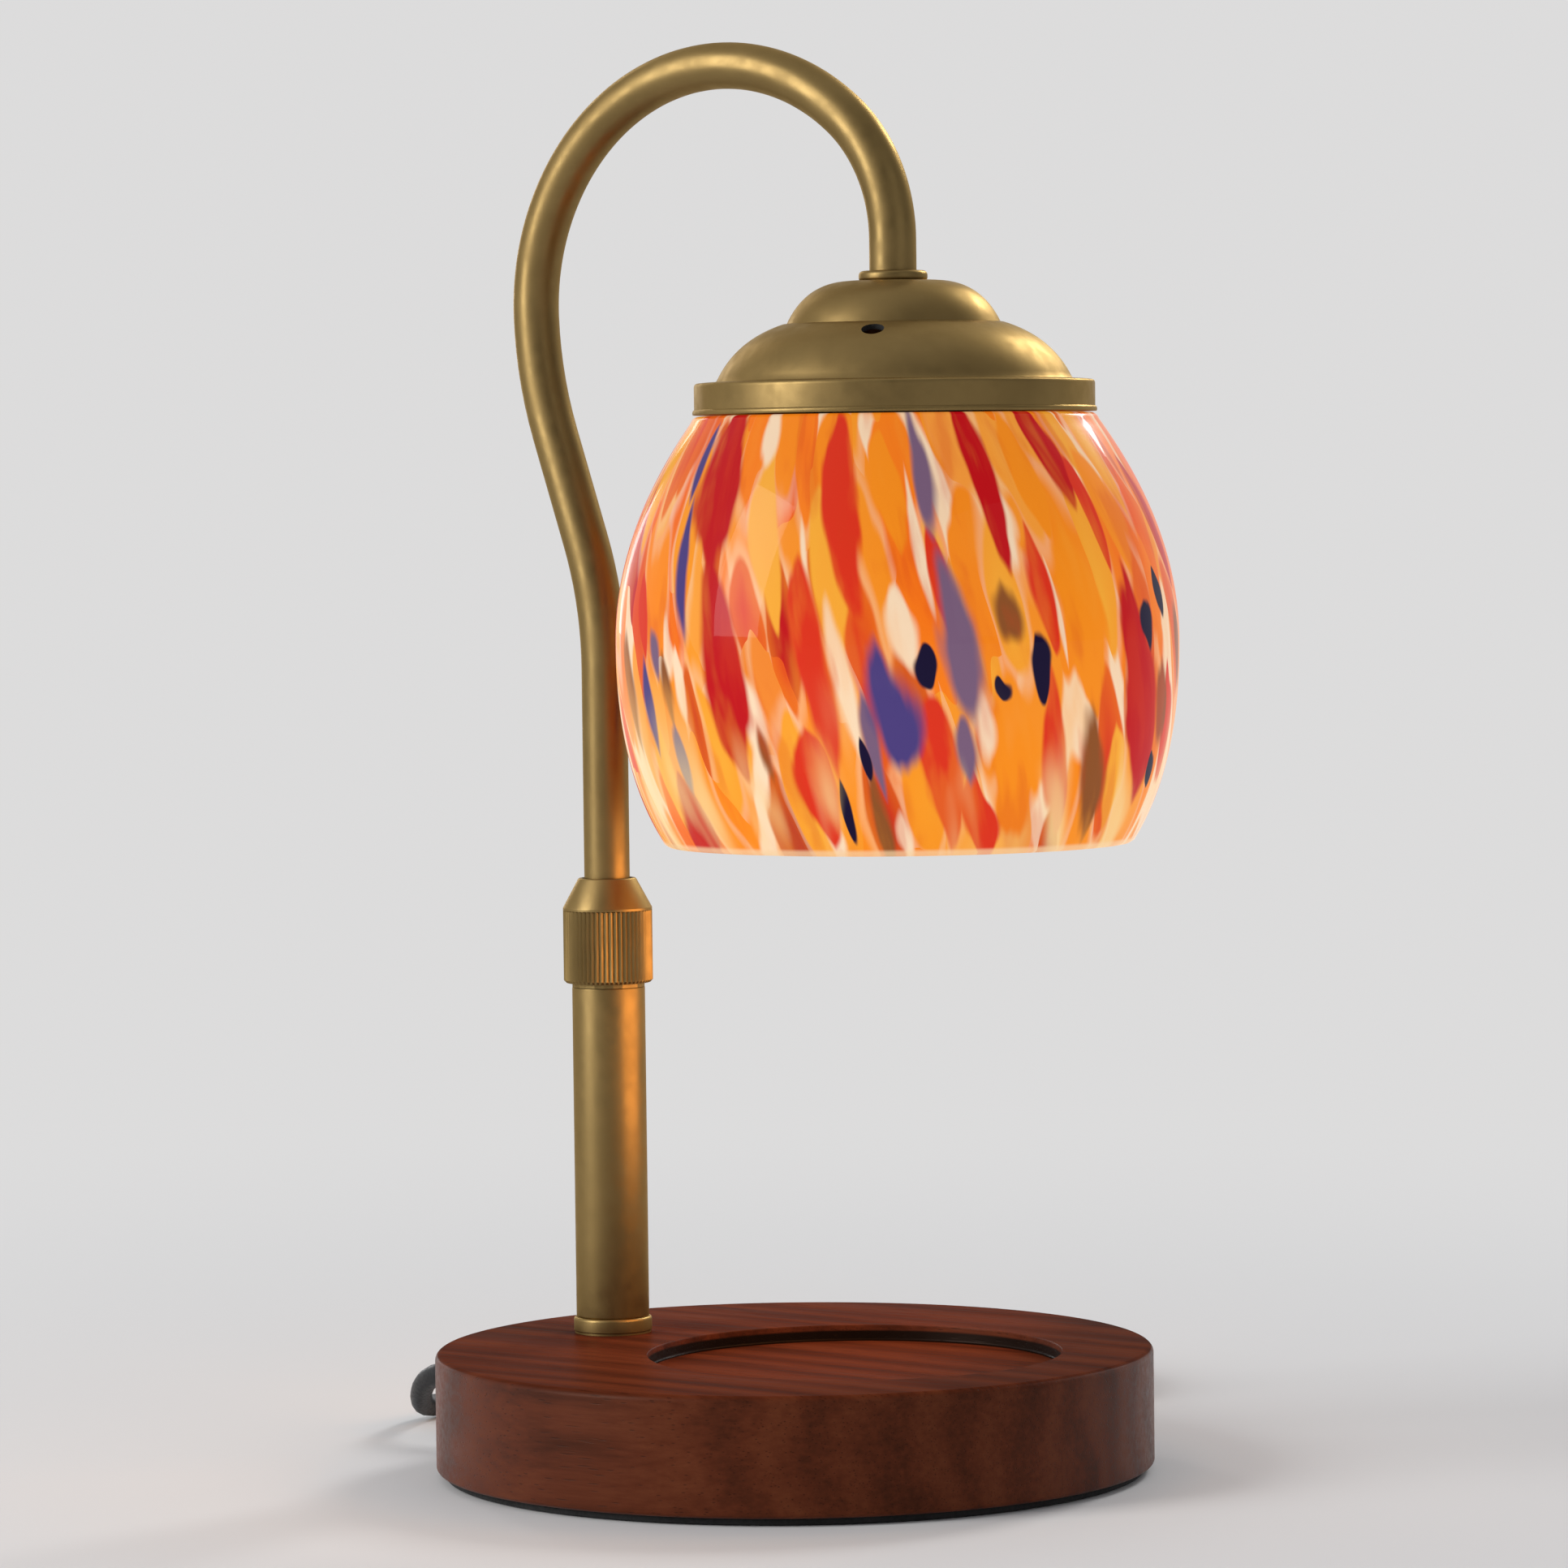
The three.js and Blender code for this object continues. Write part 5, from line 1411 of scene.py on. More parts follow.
@dataclass
class Dimmer:
    """Dimmer switch on the cord: two halves of a housing and a thumb wheel."""

    at: tuple[float, float] = (-0.0831, 0.0575)
    heading: float = 26
    length: float = 0.046
    width: float = 0.02
    height: float = 0.011
    nose: float = 0.0044
    gap: float = 0.0003
    bottom_edge: float = 0.0016
    top_edge: float = 0.0022
    wheel_radius: float = 0.009
    wheel_bore: float = 0.0018
    wheel_thickness: float = 0.004
    wheel_proud: float = 0.0024
    wheel_edge: float = 0.0005
    ridges: int = 36
    ridge_depth: float = 0.00045

    def placed(self, surface: Surface) -> Surface:
        """A surface of the dimmer, turned and moved to where it lies."""
        return surface.turned(self.heading).moved(*self.at)

    def plan(self) -> Array:
        """The housing's outline from above.

        For t from -1 to 1 along it, half its width is the nose's plus the rest
        over 1 + exp(16 (|t| - 0.72)). From |t| = 0.95 on it closes as a
        quarter of an ellipse does, as far as 0.4 of its width.

        Returns:
            Pairs of X and Y, against the clock.
        """
        t = np.linspace(-1, 1, 49)
        half = self.nose + (self.width / 2 - self.nose) / (1 + np.exp((np.abs(t) - 0.72) * 16))
        end = np.sqrt(np.clip(1 - np.clip((np.abs(t) - 0.95) / 0.05, 0, 1) ** 2, 0.16, 1))
        side = np.stack([t * self.length / 2, half * end], 1)
        return np.vstack([side * [1, -1], side[::-1]])

    def shell_half(self, low: float, high: float, low_edge: float, high_edge: float) -> Surface:
        """Half of the housing: rings of its plan, stacked up.

        At an edge of radius r the ring at angle a is r (1 - sin a) from the
        end's height, and it is smaller by r (1 - cos a) on every side.

        Args:
            low: Height of its bottom.
            high: Height of its top.
            low_edge: Rounding of the bottom edge.
            high_edge: Rounding of the top edge.

        Returns:
            The surface.
        """
        quarter = np.linspace(0, np.pi / 2, 6)
        ends = []
        for at, edge in ((low, low_edge), (high, -high_edge)):
            a = quarter if edge else quarter[-1:]
            ends.append(np.stack([at + edge * (1 - np.sin(a)), abs(edge) * (1 - np.cos(a))], 1))
        height, smaller = np.vstack([ends[0][::-1], ends[1]]).T
        shrink = 1 - smaller[:, None] / np.array([self.length / 2, self.width / 2])
        return loft(height, self.plan()[None] * shrink[:, None], upright=True)

    def build_housing(self) -> list[Piece]:
        """Makes the two halves and cuts the wheel's room out of each.

        Returns:
            The two pieces.
        """
        middle = self.height / 2
        reach = self.wheel_thickness / 2 + self.gap
        room = rod(self.wheel_radius + 2 * self.gap, middle - reach, middle + reach)
        room = self.placed(room.moved(0, self.wheel_y()))
        halves = []
        for name, node, low, high, edges in (
            ("dimmer_base", "switch_bottom", 0, middle - self.gap / 2, (self.bottom_edge, 0)),
            ("dimmer_cover", "switch_top", middle + self.gap / 2, self.height, (0, self.top_edge)),
        ):
            surface = self.placed(self.shell_half(low, high, *edges))
            half = add_piece(name, surface, BLACK, Body.BASE, (node,), 32)
            carve(half, [room])
            halves.append(half)
        return halves

    def wheel_y(self) -> float:
        """How far the wheel's axis lies to the side, so that its rim stands proud."""
        return self.width / 2 + self.wheel_proud - self.wheel_radius

    def build_wheel(self) -> Piece:
        """Turns the thumb wheel with dips round its rim.

        Returns:
            The piece.
        """
        middle, edge = self.height / 2, self.wheel_edge
        low, high = middle - self.wheel_thickness / 2, middle + self.wheel_thickness / 2
        outline = ring_outline(self.wheel_bore, self.wheel_radius, low, high, (edge, edge))

        def dips(angle: Array, _height: Array) -> Array:
            """Near the rim, less the depth times (0.5 + 0.5 cos of the angle times the ridges)^0.7."""
            rim = np.where(outline[:, :1] > self.wheel_radius * 0.9, 1.0, 0.0)
            return -self.ridge_depth * rim * (0.5 + 0.5 * np.cos(self.ridges * angle)) ** 0.7

        surface = self.placed(revolve(outline, 6 * self.ridges, True, dips).moved(0, self.wheel_y()))
        return add_piece("dimmer_knob", surface, BLACK, Body.DIMMER, ("dimmer_wheel",))

    def build(self) -> list[Piece]:
        """Makes the housing and the wheel, and hands back their pieces."""
        return [*self.build_housing(), self.build_wheel()]


@dataclass
class Plug:
    """Moulded two-blade plug with a ribbed tail."""

    at: Point = (-0.0908, 0.1279, 0.0065)
    heading: float = 226
    length: float = 0.033
    width: float = 0.022
    height: float = 0.013
    squareness: float = 2.6
    face_edge: float = 0.0014
    tail: float = 0.013
    tail_radius: float = 0.0032
    tail_growth: float = 0.0022
    rib_pitch: float = 0.0042
    rib_height: float = 0.0006
    widening: tuple[float, float] = (0.011, 0.006)
    sides: int = 56
    blade_offset: float = 0.00635
    blade_thickness: float = 0.0015
    blade_width: float = 0.0063
    hole_radius: float = 0.0015
    hole_at: float = 0.0455

    def placed(self, surface: Surface) -> Surface:
        """A surface of the plug, turned and moved to where it lies."""
        return surface.turned(self.heading).moved(*self.at)

    def moulding(self) -> Surface:
        """The plug's body, a loft of rounded sections along X.

        With g rising from 0 to 1 as 3 u^2 - 2 u^3 over the widening, each size
        is (1 - g) times the tail's diameter plus g times the body's size, and
        the power of the section grows from 2 by g times the squareness. The
        tail's radius grows evenly, and between its ribs it is less by up to
        the rib height. The last part of the body draws in to 0.9 as a quarter
        of an ellipse does.

        Returns:
            The surface.
        """
        along = self.length * np.linspace(0, 1, 65)
        tail = np.clip(along / self.tail, 0, 1)
        start, span = self.widening
        grow = np.clip((along - start) / span, 0, 1)
        grow = grow * grow * (3 - 2 * grow)
        into_edge = np.clip((along - (self.length - self.face_edge)) / self.face_edge, 0, 1)
        end = 0.9 + 0.1 * np.sqrt(1 - into_edge**2)
        rib = np.where(tail < 1, 1 / (1 + np.exp(-8 * np.sin(2 * np.pi * along / self.rib_pitch))), 1.0)
        tail_size = 2 * (self.tail_radius + self.tail_growth * tail - self.rib_height * (1 - rib))
        width, height = ((tail_size * (1 - grow) + size * grow) * end for size in (self.width, self.height))
        power = 2 + self.squareness * grow
        return loft(along, squared_section(width[:, None], height[:, None], power[:, None], self.sides))

    def blade(self) -> Surface:
        """A flat blade along X, a loft whose section narrows to a rounded tip.

        Returns:
            The surface.
        """
        x = np.array([0.0283, 0.0470, 0.0480, 0.0488, 0.0493, 0.0495])
        size = np.array([1, 1, 0.92, 0.8, 0.62, 0.4])
        section = squared_section(self.blade_thickness, self.blade_width, 8, 32)
        return loft(x, size[:, None, None] * section)

    def build(self) -> list[Piece]:
        """Makes the moulding and two blades with a hole in each.

        Returns:
            The pieces.
        """
        surface = self.placed(self.moulding())
        pieces = [add_piece("plug_moulding", surface, SHEATH, Body.BASE, ("plug_body",))]
        for number, y in ((1, -self.blade_offset), (2, self.blade_offset)):
            surface = self.placed(self.blade().moved(0, y))
            blade = add_piece(f"plug_contact_{number}", surface, NICKEL, Body.BASE,
                              (f"plug_blade_{number}",))
            hole = rod(self.hole_radius, -0.003, 0.003, 24).turned(90, "X").moved(self.hole_at, y)
            carve(blade, [self.placed(hole)])
            pieces.append(blade)
        return pieces


@dataclass
class Cord:
    """The mains cord with its coil and tie, and with the relief, the dimmer and the plug on it.

    The three runs are in millimetres.
    """

    diameter: float = 0.005
    step: float = 0.003
    sides: int = 14
    coil_centre: tuple[float, float] = (-0.043, 0.1171)
    coil_outer: float = 0.0419
    pitch: float = 0.0055
    turns: float = 8.589
    start_angle: float = -76
    gap: float = 0.0003
    tie_thickness: float = 0.0008
    tie_width: float = 0.006
    tie_angle: float = 120
    tie_slack: float = 0.0006
    first_run: tuple[Point, ...] = (
        (-92.9, 0, 14), (-97, 0.3, 14), (-101, 1.5, 13.2), (-105, 3.4, 11.6), (-108.5, 5.9, 9.4),
        (-111.6, 9, 7), (-114.1, 12.4, 4.9), (-116.2, 16.3, 3.5), (-117.5, 20.7, 2.8), (-117.9, 25.2, 2.7),
        (-117.3, 30, 2.8), (-115.6, 35, 3.2), (-113, 39.5, 4), (-109.6, 43.4, 4.9), (-106.6, 45.6, 5.4),
        (-103.9, 47.2, 5.5))
    second_run: tuple[Point, ...] = (
        (-62.2, 67.7, 5.5), (-59.6, 69, 5.4), (-56.6, 70.4, 5.1), (-52.4, 71.8, 4.6), (-48.2, 72.9, 4),
        (-43.6, 74.1, 3.7), (-40.6, 74.8, 3.6), (-38.1, 75.4, 3.6))
    third_run: tuple[Point, ...] = (
        (-77.1, 142.6, 9.1), (-79.2, 140.4, 8.9), (-82.4, 136.8, 8.3), (-85.6, 133.2, 7.4),
        (-88.2, 130.6, 6.7), (-90.6, 128.1, 6.5))

    def coil_line(self, steps: int = 36) -> Array:
        """The coil's centre line.

        The angle grows evenly. The radius is the outer radius less the pitch
        for each turn away from the nearer end, so the line spirals in and out
        again, and in the half turn at the middle it climbs by one layer.

        Args:
            steps: Points a turn.

        Returns:
            The line's points.
        """
        turn = np.linspace(0, self.turns, round(self.turns * steps) + 1)
        from_middle = turn - self.turns / 2
        radius = self.coil_outer - self.pitch * (self.turns / 2 - np.abs(from_middle))
        angle = np.radians(self.start_angle + 360 * turn)
        low = self.tie_thickness + self.gap + self.diameter / 2
        height = low + self.pitch * np.clip(0.5 + 2 * from_middle, 0, 1)
        x, y = self.coil_centre
        return np.stack([x + radius * np.cos(angle), y + radius * np.sin(angle), height], 1)

    def line(self) -> Array:
        """The whole cord's centre line, from the relief through the dimmer and the coil to the plug.

        Returns:
            The line's points.
        """
        runs = (self.first_run, self.second_run, self.third_run)
        first, second, third = (np.array(run) / 1000 for run in runs)
        lead_in = through([*first, *second], self.step)
        return np.vstack([lead_in, self.coil_line(), through(third, self.step)])

    def build_tie(self) -> Piece:
        """Sweeps a flat strap round a squared loop that holds the coil's turns together.

        The loop stands across the coil's turns, from inside the innermost to
        outside the outermost, and from the floor to over the upper layer.

        Returns:
            The piece.
        """
        steps = 96
        half = self.tie_thickness / 2
        innermost = self.coil_outer - self.pitch * self.turns / 2 - self.diameter / 2
        inner = innermost - self.tie_slack - half
        outer = self.coil_outer + self.diameter / 2 + self.tie_slack + half
        top = self.tie_thickness + self.gap + self.diameter + self.pitch + self.gap
        low, high = half, top + half
        loop = squared_section(outer - inner, high - low, 9, steps)
        path = np.stack([loop[:, 0] + (outer + inner) / 2, np.zeros(steps), loop[:, 1] + (high + low) / 2], 1)
        strap = squared_section(self.tie_width, self.tie_thickness, 6, 16)[:, ::-1]
        surface = sweep(path, strap, (0, 1, 0), True).turned(self.tie_angle).moved(*self.coil_centre)
        return add_piece("coil_strap", surface, BLACK, Body.BASE, ("coil_tie",))

    def build(self) -> None:
        line = self.line()
        surface = sweep(line, round_section(self.diameter / 2, self.sides))
        cord = add_piece("mains_cord", surface, SHEATH, Body.BASE,
                         ("cord_run_1", "cord_run_2", "cord_run_3", "cord_coil"))
        relief = Relief().build()
        tie = self.build_tie()
        on_cord = [*Dimmer().build(), *Plug().build(), tie, relief, "wheel_pin"]
        log.info("cord length %.3f m", walked(line)[-1])


@dataclass
class Base:
    """Turned wooden base with its recess, and the pad under it."""

    radius: float = 0.0775
    low: float = 0.0015
    top: float = 0.0267
    edges: tuple[float, float] = (0.0009, 0.0015)
    recess_x: float = 0.016
    recess_radius: float = 0.0445
    recess_floor: float = 0.0232
    recess_fillet: float = 0.0006
    recess_edge: float = 0.0008
    pole_x: float = -0.0493
    pocket_radius: float = 0.013
    pocket_top: float = 0.0185
    nipple_hole: float = 0.0043
    cord_hole: float = 0.0037
    cord_z: float = 0.014
    cord_hole_x: float = -0.0605
    pad_radius: float = 0.0755
    pad_edges: tuple[float, float] = (0.0004, 0.0002)
    past: float = 0.002

    def recess(self) -> Surface:
        """What is cut away for the recess: a disc with a fillet below, which widens over the top.

        Returns:
            The surface.
        """
        over = self.top + self.past
        corners = [[0, self.recess_floor], [self.recess_radius, self.recess_floor],
                   [self.recess_radius, self.top], [self.recess_radius + self.past, over], [0, over]]
        outline = smooth_edges(corners, [0, self.recess_fillet, self.recess_edge, 0, 0])[1:-1]
        return revolve(outline, 160).moved(self.recess_x)

    def build(self) -> None:
        """Turns the base with soft edges, cuts its recess and holes, and lays the pad."""
        outline = disc_outline(self.radius, self.low, self.top, self.edges, 8)
        wood = add_piece("walnut_base", revolve(outline, 192), WALNUT, Body.BASE, ("wood_base",))
        pocket = rod(self.pocket_radius, 0, self.pocket_top, 64)
        nipple = rod(self.nipple_hole, self.pocket_top - self.past, self.top + self.past)
        cord = rod(self.cord_hole, 0, 0.02).turned(-90, "Y").moved(self.cord_hole_x, 0, self.cord_z)
        carve(wood, [self.recess(), pocket.moved(self.pole_x), nipple.moved(self.pole_x), cord])
        pad = revolve(disc_outline(self.pad_radius, 0, self.low, self.pad_edges), 160)
        add_piece("foam_pad", pad, FOAM_AND_VENT_SHADE, Body.BASE, ("base_pad",))


@dataclass
class Pole:
    """The pole, its foot and the knurled nut."""

    x: float = -0.0493
    sides: int = 96
    foot_low: float = 0.0267
    foot_top: float = 0.0303
    foot_radius: float = 0.0086
    foot_bore: float = 0.004
    foot_line: float = 0.0002
    spigot_radius: float = 0.0065
    spigot: float = 0.006
    top: float = 0.103
    radius: float = 0.008
    bore: float = 0.0068
    rim: float = 0.0003
    nut_low: float = 0.1039
    nut_radius: float = 0.0098
    nut_tip: float = 0.0063
    nut_bevel: float = 0.0006
    nut_bore: float = 0.0083
    nut_hole: float = 0.0056
    seat: tuple[float, float] = (0.0065, 0.0075)
    seat_heights: tuple[float, float, float] = (0.1228, 0.1187, 0.1163)
    skirt: float = 0.0165
    cone: float = 0.0065
    ridges: int = 56
    ridge_depth: float = 0.00042
    plain: float = 0.0007

    def add_brass(self, name: str, outline: Array, node: str) -> None:
        """Turns a closed outline about the pole's axis and adds it in brass."""
        surface = revolve(outline, self.sides, True).moved(self.x)
        add_piece(name, surface, BRASS, Body.BASE, (node,))

    def build_foot(self) -> None:
        """Turns the foot bush with a rounded top edge and a hair line under it, and its spigot."""
        low, top, line = self.foot_low, self.foot_top, self.foot_line
        over, narrow = top + self.spigot, self.foot_radius - line
        corners = [[self.foot_bore, low], [narrow, low], [narrow, low + 2 * line],
                   [self.foot_radius, low + 3 * line], [self.foot_radius, top], [self.spigot_radius, top],
                   [self.spigot_radius, over], [self.foot_bore, over], [self.foot_bore, low]]
        outline = smooth_edges(corners, [0, 0, 0, line, 0.0007, 0, 0.0004, 0, 0])[:-1]
        self.add_brass("foot_collar", outline, "foot_bush")

    def build_tube(self) -> None:
        """Turns the pole with its bore; both rims are softened."""
        outline = ring_outline(self.bore, self.radius, self.foot_top, self.top, (self.rim, self.rim))
        self.add_brass("pole_tube", outline, "lower_tube")

    def build_nut(self) -> None:
        """Turns the nut and knurls its skirt.

        Each of the ridges is a triangle wave of the angle. Its depth is full
        on the skirt. It stops just short of the cone, and below it is cut off
        where the bottom bevel is narrower.
        """
        low, radius, bevel = self.nut_low, self.nut_radius, self.nut_bevel
        skirt_top = low + self.skirt
        top = skirt_top + self.cone
        knurl_top = skirt_top - self.plain
        outer = smooth_edges(
            [[self.nut_bore, low], [radius - bevel, low], [radius, low + bevel], [radius, low + 0.001],
             [radius, knurl_top], [radius, knurl_top + 0.0002], [radius, skirt_top], [self.nut_tip, top],
             [self.nut_hole, top]],
            [0, 0.0002, 0, 0, 0, 0, 0.0003, 0.0005, 0])
        (narrow, wide), (seat_top, seat_low, mouth) = self.seat, self.seat_heights
        inner = [[self.nut_hole, seat_top], [narrow, seat_top], [wide, seat_low], [wide, mouth],
                 [self.nut_bore, mouth]]
        outline = np.vstack([outer, inner])

        def knurl(angle: Array, height: Array) -> Array:
            """Less a triangle wave, and on the bevel no more than what stands over the ridges' feet.

            Args:
                angle: Angle of each point.
                height: Height of each point.

            Returns:
                The change of radius.
            """
            wave = np.abs(((angle * self.ridges / (2 * np.pi)) % 1) * 2 - 1)
            reach = np.repeat(outline[:, :1], height.shape[1], 1) - (radius - self.ridge_depth)
            room = np.clip(reach, 0, self.ridge_depth) * (height <= knurl_top)
            outside = (np.arange(len(outline)) < len(outer))[:, None]
            return -np.minimum(wave * self.ridge_depth, room) * outside

        surface = revolve(outline, self.ridges * 8, True, knurl).moved(self.x)
        add_piece("knurled_nut", surface, BRASS, Body.NUT, ("clamp_nut",), 24)

    def build(self) -> None:
        """Builds the foot, the tube and the nut."""
        self.build_foot()
        self.build_tube()
        self.build_nut()


@dataclass
class Arm:
    """Gooseneck and the ring that seats it on the canopy.

    Each bend is a radius in millimetres and an angle. A bend of no radius is a
    straight run, and its second number is its length in millimetres.
    """

    pole_x: float = -0.0493
    stem_low: float = 0.056
    stem_top: float = 0.173
    radius: float = 0.005
    wall: float = 0.001
    sides: int = 48
    bends: tuple[tuple[float, float], ...] = ((86, -19), (0, 25), (88, 17), (51, 131.5), (35, 50.5), (0, 8.8))
    ring_bore: float = 0.0053
    ring_radius: float = 0.0073
    ring_height: float = 0.0021
    ring_edges: tuple[float, float] = (0.0006, 0.001)

    def line(self) -> Array:
        """The gooseneck's centre line in the XZ plane.

        A run goes straight on. A bend of radius R from heading h to heading k
        passes through x + R (cos h - cos a), z + R (sin a - sin h) for a
        between them, with both signs changed for a bend to the left.

        Returns:
            The line's points.
        """
        at, heading = np.array([self.pole_x, self.stem_top]), 0.0
        stem = np.linspace(self.stem_low, self.stem_top, 12)
        pieces = [np.stack([np.full(len(stem), self.pole_x), stem], 1)]
        for radius, amount in self.bends:
            if radius == 0:
                way = np.array([math.sin(heading), math.cos(heading)])
                piece = at + way * np.linspace(0, amount * MM, 8)[1:, None]
            else:
                turn = math.radians(amount)
                a = heading + turn * np.linspace(0, 1, max(6, round(abs(amount) / 2)))[1:]
                reach = math.copysign(radius * MM, amount)
                piece = np.stack([at[0] + reach * (math.cos(heading) - np.cos(a)),
                                  at[1] + reach * (np.sin(a) - math.sin(heading))], 1)
                heading += turn
            pieces.append(piece)
            at = piece[-1]
        flat = np.vstack(pieces)
        return np.stack([flat[:, 0], np.zeros(len(flat)), flat[:, 1]], 1)

    def head(self) -> Point:
        """Where the gooseneck ends on the canopy."""
        x, y, z = self.line()[-1]
        return float(x), float(y), float(z)

    def build_neck(self) -> None:
        """Sweeps the outer and inner wall of the tube and joins them at both ends."""
        line = self.line()
        count = len(line) * self.sides
        last = count - self.sides
        sections = (round_section(radius, self.sides) for radius in (self.radius, self.radius - self.wall))
        outer, inner = (sweep(line, section, (0, 1, 0)).points[:count] for section in sections)
        j, j_next = ring_ends(self.sides)
        walls = grid_faces(len(line), self.sides)
        start = np.stack([j_next, j, j + count, j_next + count], 1)
        end = np.stack([j + last, j_next + last, j_next + last + count, j + last + count], 1)
        faces = np.vstack([walls, walls[:, ::-1] + count, start, end])
        surface = Surface(np.vstack([outer, inner]), faces.tolist())
        add_piece("bent_neck", surface, BRASS, Body.ARM, ("gooseneck",))

    def build_ring(self) -> None:
        """Turns the seat ring, whose outer edge is nearly a full round."""
        outline = ring_outline(self.ring_bore, self.ring_radius, 0, self.ring_height, self.ring_edges, 8)
        surface = revolve(outline, 96, True).moved(*self.head())
        add_piece("neck_ring", surface, BRASS, Body.ARM, ("seat_ring",))

    def build(self) -> None:
        """Builds the neck and its ring."""
        self.build_neck()
        self.build_ring()


@dataclass
class Head:
    """Canopy, glass shade and bulb.

    Their outlines are pairs of radius and height in millimetres, measured
    from the point where the gooseneck ends on the canopy's top.
    """

    at: Point
    sheet: float = 0.0012
    vents: int = 3
    vent_radius: float = 0.0024
    vent_angle: float = 56
    vent_place: float = 0.0276
    vent_z: float = -0.0108
    vent_tilt: float = 24
    glass: float = 0.003
    glass_top: float = -28.3
    shoulder: float = 1.4
    belly: float = -76.3
    belly_radius: float = 59.8
    mouth: float = -119.3
    mouth_radius: float = 49.9
    lip_inset: float = 0.0008
    lip_drop: float = 0.0005
    bowl_top: float = -46.4
    bowl_radius: float = 25
    bowl_wall: float = 0.0012
    lens_face: float = -86.4

    def canopy_outline(self) -> Array:
        """The section of the canopy's sheet: two domed tiers over a flange with a rolled rim.

        The outside is a chain of quadratic curves, and the inside is the same
        chain, inset by the sheet's thickness.

        Returns:
            The closed outline.
        """
        outer = np.vstack([
            [[3.7, 0], [8.0, 0]],
            quadratic([9, 0], [18.5, 0], [22.7, -9], 18),
            [[22.9, -9.05], [23.3, -9.05]],
            quadratic([23.5, -9.0], [33.5, -12.2], [37.6, -20.7], 18),
            [[37.9, -21.05], [41.2, -21.25]],
            quadratic([41.6, -21.3], [42.5, -21.3], [42.5, -22.2], 6),
            [[42.5, -26.9], [42.75, -27.1]],
            quadratic([42.75, -27.1], [43.0, -27.5], [42.8, -28.0], 5),
        ]) * MM
        same = np.linalg.norm(np.diff(outer, axis=0), axis=1) < 0.000001
        outer = outer[~np.concatenate([[False], same])]
        inner = inset(outer, self.sheet)
        inner = inner[(inner[:, 1] > -0.028) | (np.arange(len(inner)) < len(inner) - 3)]
        return np.vstack([outer, inner[::-1]])

    def build_canopy(self) -> None:
        """Turns the canopy as one wall and drills its vents, whose walls are painted black as painted shade.
        """
        surface = revolve(self.canopy_outline(), 160, True).moved(*self.at)
        canopy = add_piece("spun_canopy", surface, BRASS, Body.ARM, ("canopy",), 30)
        drill = rod(self.vent_radius, -0.005, 0.005, 40).turned(self.vent_tilt, "Y")
        drill = drill.moved(self.vent_place, 0, self.vent_z)
        angles = [self.vent_angle + 360 / self.vents * i for i in range(self.vents)]
        # The vents' walls get the black finish: painted shade inside the holes.
        carve(canopy, [drill.turned(angle).moved(*self.at) for angle in angles], FOAM_AND_VENT_SHADE)

    def glass_outline(self) -> Array:
        """The outside of the glass, from the fitter hole over the belly to the mouth.

        It is a chain of quadratic curves that share their ends: the edge of
        the top, the shoulder down to the belly, and the belly down to the
        mouth.

        Returns:
            The outline's points.
        """
        top, wide, mouth = self.glass_top, self.belly_radius, self.mouth
        shoulder = top - self.shoulder
        return np.vstack([
            [[14.5, top], [30, top]],
            quadratic([41.4, top], [42.8, top], [43.3, shoulder], 5),
            quadratic([43.3, shoulder], [wide, (shoulder + self.belly) / 2], [wide, self.belly], 30)[1:],
            quadratic([wide, self.belly], [wide, mouth + 16.2], [self.mouth_radius, mouth + 0.5], 26)[1:],
        ]) * MM

    def build_glass(self) -> None:
        """Turns the shade and stores where its streaks run.

        The stored vector is (R cos t, R sin t, s / k): t is the angle plus a
        slow twist down the glass, R one radius for all heights so that streaks
        narrow towards the top, s the distance along the outline and k how much
        longer a streak is than wide.
        """
        outer = self.glass_outline()
        inner = inset(outer, self.glass)
        aside, drop = self.lip_inset, self.lip_drop
        lip = np.array([outer[-1] + [-aside, -drop], inner[-1] + [aside, -drop]])
        outline = np.vstack([outer, lip, inner[::-1]])
        outline[:, 1] = np.maximum(outline[:, 1], self.mouth * MM)
        sides = 192
        surface = revolve(outline, sides, True).moved(*self.at)
        shade_piece = add_piece("streaked_shade", surface, GLASS, Body.ARM, ("glass_shade",), 50)
        walk = walked(outer)
        along = np.concatenate([walk, walk[-1:], walk[-1:], walk[::-1]])[:, None]
        angle = np.linspace(0, 2 * np.pi, sides, endpoint=False)[None] + GLASS.twist * along
        streak = np.stack([GLASS.reach * np.cos(angle), GLASS.reach * np.sin(angle),
                           np.broadcast_to(along / GLASS.stretch, angle.shape)], -1)
        attribute = shade_piece.data.attributes.new("streak", "FLOAT_VECTOR", "POINT")
        attribute.data.foreach_set("vector", streak.reshape(-1).astype(np.float32))

    def bowl_outline(self) -> Array:
        """The section of the reflector: a flat back, a short neck and a bowl, all with one wall.

        Returns:
            The closed outline.
        """
        top, wide = self.bowl_top, self.bowl_radius
        outer = np.vstack([
            [[0.5, top], [9.9, top]],
            quadratic([9.9, top], [10.5, top], [10.5, top - 0.6], 4)[1:],
            quadratic([10.5, top - 4], [17.75, top - 12.5], [wide, top - 38], 24),
            [[wide, top - 39.4], [wide - 0.2, top - 40]],
        ]) * MM
        inner = inset(outer, self.bowl_wall)[:-1]
        inner[-1, 1] = outer[-1, 1]
        return np.vstack([outer, inner[::-1]])

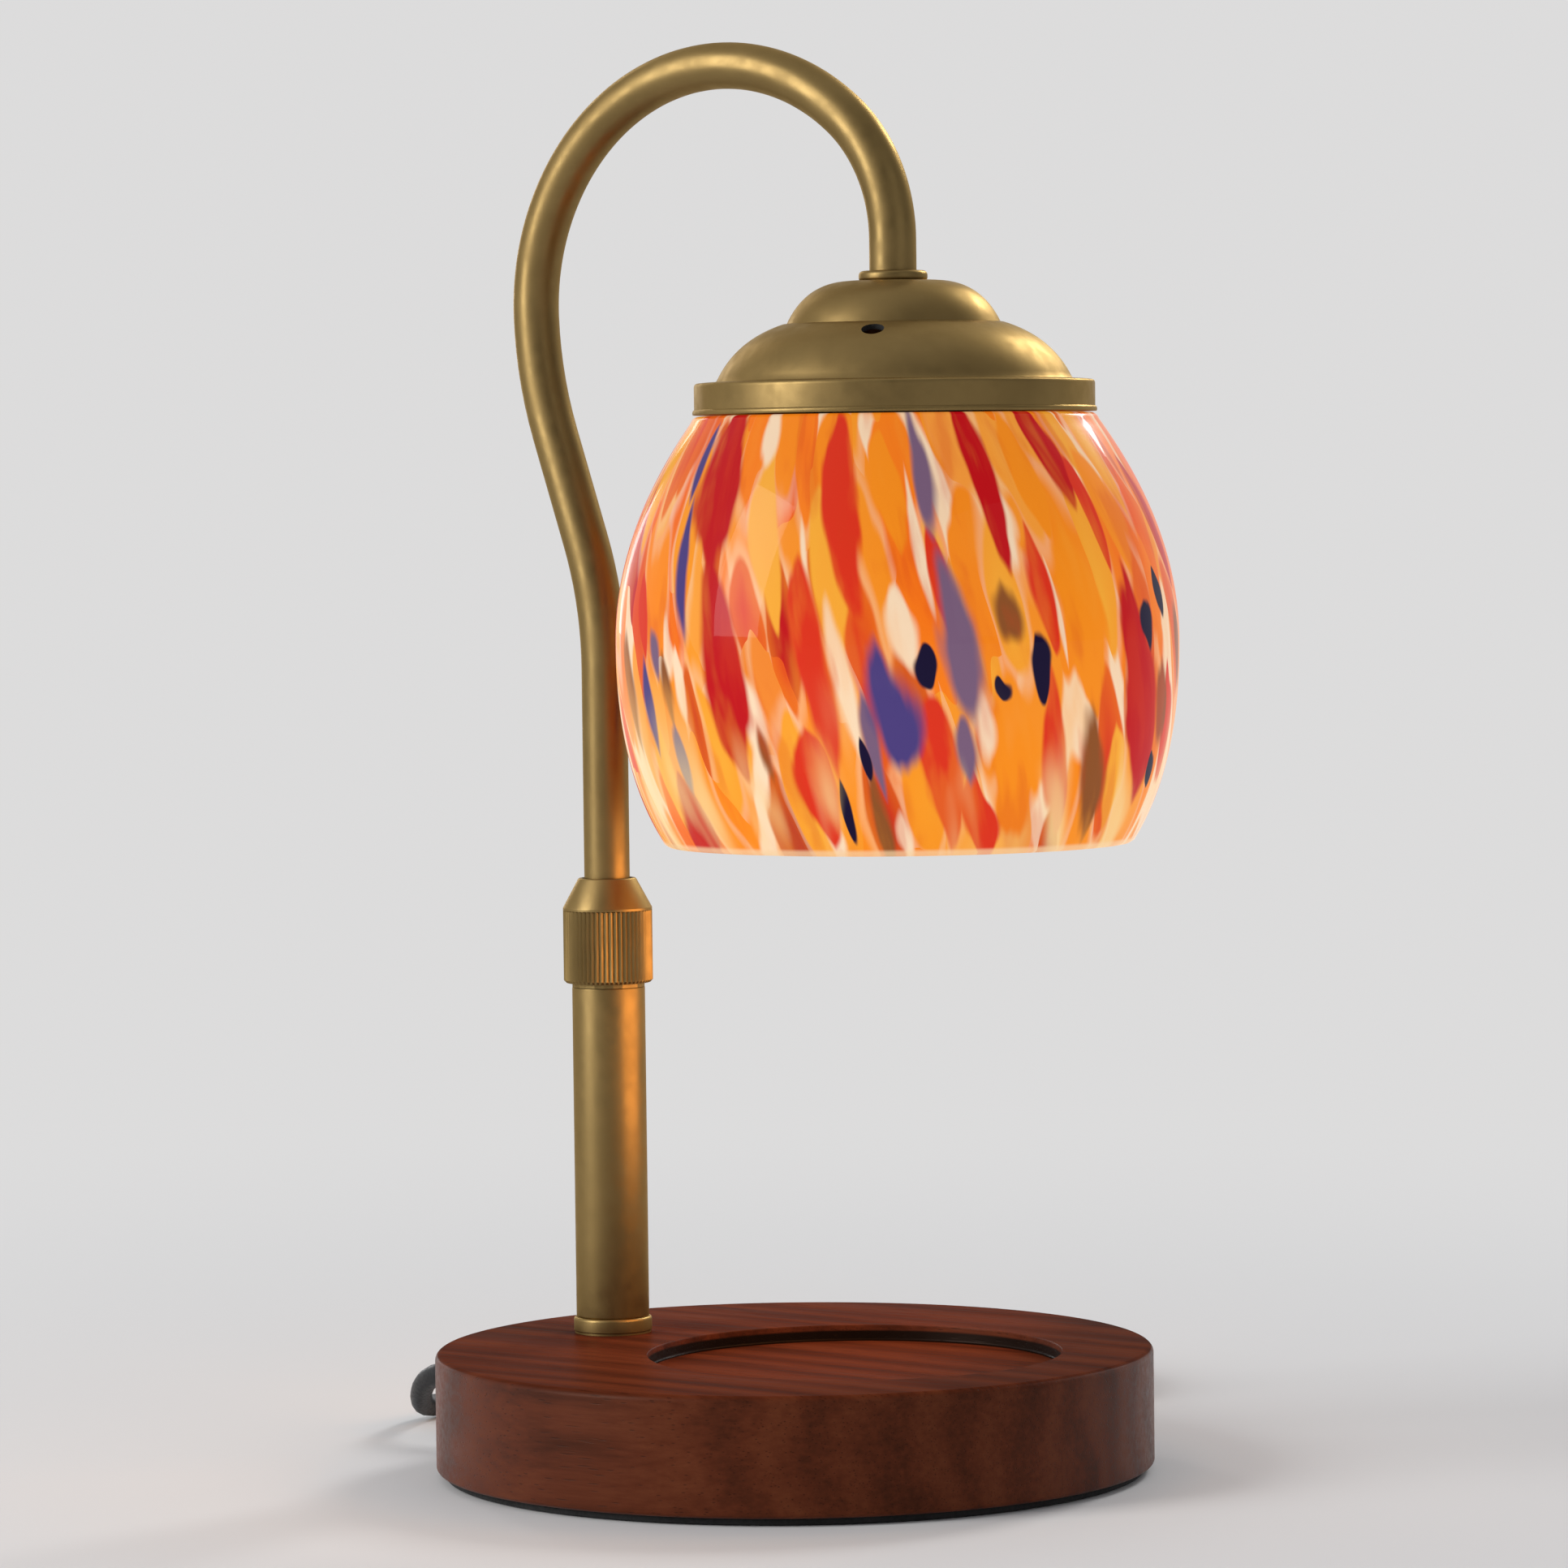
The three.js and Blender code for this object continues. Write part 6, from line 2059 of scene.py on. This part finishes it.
    def lens_outline(self) -> Array:
        """Half the section of the lens: a face that domes a little, under a flat disc.

        Returns:
            The outline's points.
        """
        face = self.lens_face
        return np.vstack([
            [[1.0, face - 1.2]],
            quadratic([2, face - 1.2], [18, face - 1.0], [23.0, face - 0.2], 16),
            [[23.5, face + 0.3], [23.5, face + 2], [1, face + 2]],
        ]) * MM

    def build_bulb(self) -> None:
        """Turns the reflector bowl and the lens that closes it."""
        bowl = revolve(self.bowl_outline(), 96, True).moved(*self.at)
        add_piece("reflector_bowl", bowl, REFLECTOR, Body.BULB, ("bulb_reflector",))
        lens = revolve(self.lens_outline(), 96).moved(*self.at)
        add_piece("bulb_front", lens, LENS, Body.BULB, ("bulb_lens",))

    def build(self) -> None:
        """Builds the canopy, the shade and the bulb."""
        self.build_canopy()
        self.build_glass()
        self.build_bulb()


def dress_nodes(nodes: dict[str, Piece]) -> None:
    """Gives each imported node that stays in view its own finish.

    Args:
        nodes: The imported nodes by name.
    """
    finishes: dict[Finish, tuple[str, ...]] = {
        BRASS: ("clamp_body",),
        STEEL: ("mounting_nipple", "base_washer", "base_hex_nut", "canopy_nipple", "canopy_washer",
                "canopy_locknut", "holder_bracket", "bracket_screw_1", "bracket_screw_2", "wheel_pin"),
        NICKEL: ("bulb_pin_1", "bulb_pin_2"),
        CERAMIC: ("lamp_holder", "shade_ring", "bulb_base"),
        SILICONE: ("shade_gasket",),
        NYLON: ("guide_bush",),
        BLACK: ("arm_lead", "base_lead"),
        LENS: ("bulb_capsule",),
    }
    for finish, names in finishes.items():
        for name in names:
            materials = nodes[name].data.materials
            materials.clear()
            materials.append(finish.material())
            log.info("%s: finished in %s", name, finish.name)


def corners() -> list[list[float]]:
    """The whole object's box as two plain lists."""
    return [[float(v) for v in corner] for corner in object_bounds()]


def main() -> None:
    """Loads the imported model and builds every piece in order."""
    logging.basicConfig(level=logging.INFO, format="%(name)s: %(message)s")
    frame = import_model()
    Studio().build()
    Cord().build()
    Base().build()
    Pole().build()
    arm = Arm()
    arm.build()
    Head(arm.head()).build()
    dress_nodes(frame["nodes"])


if __name__ == "__main__":
    main()
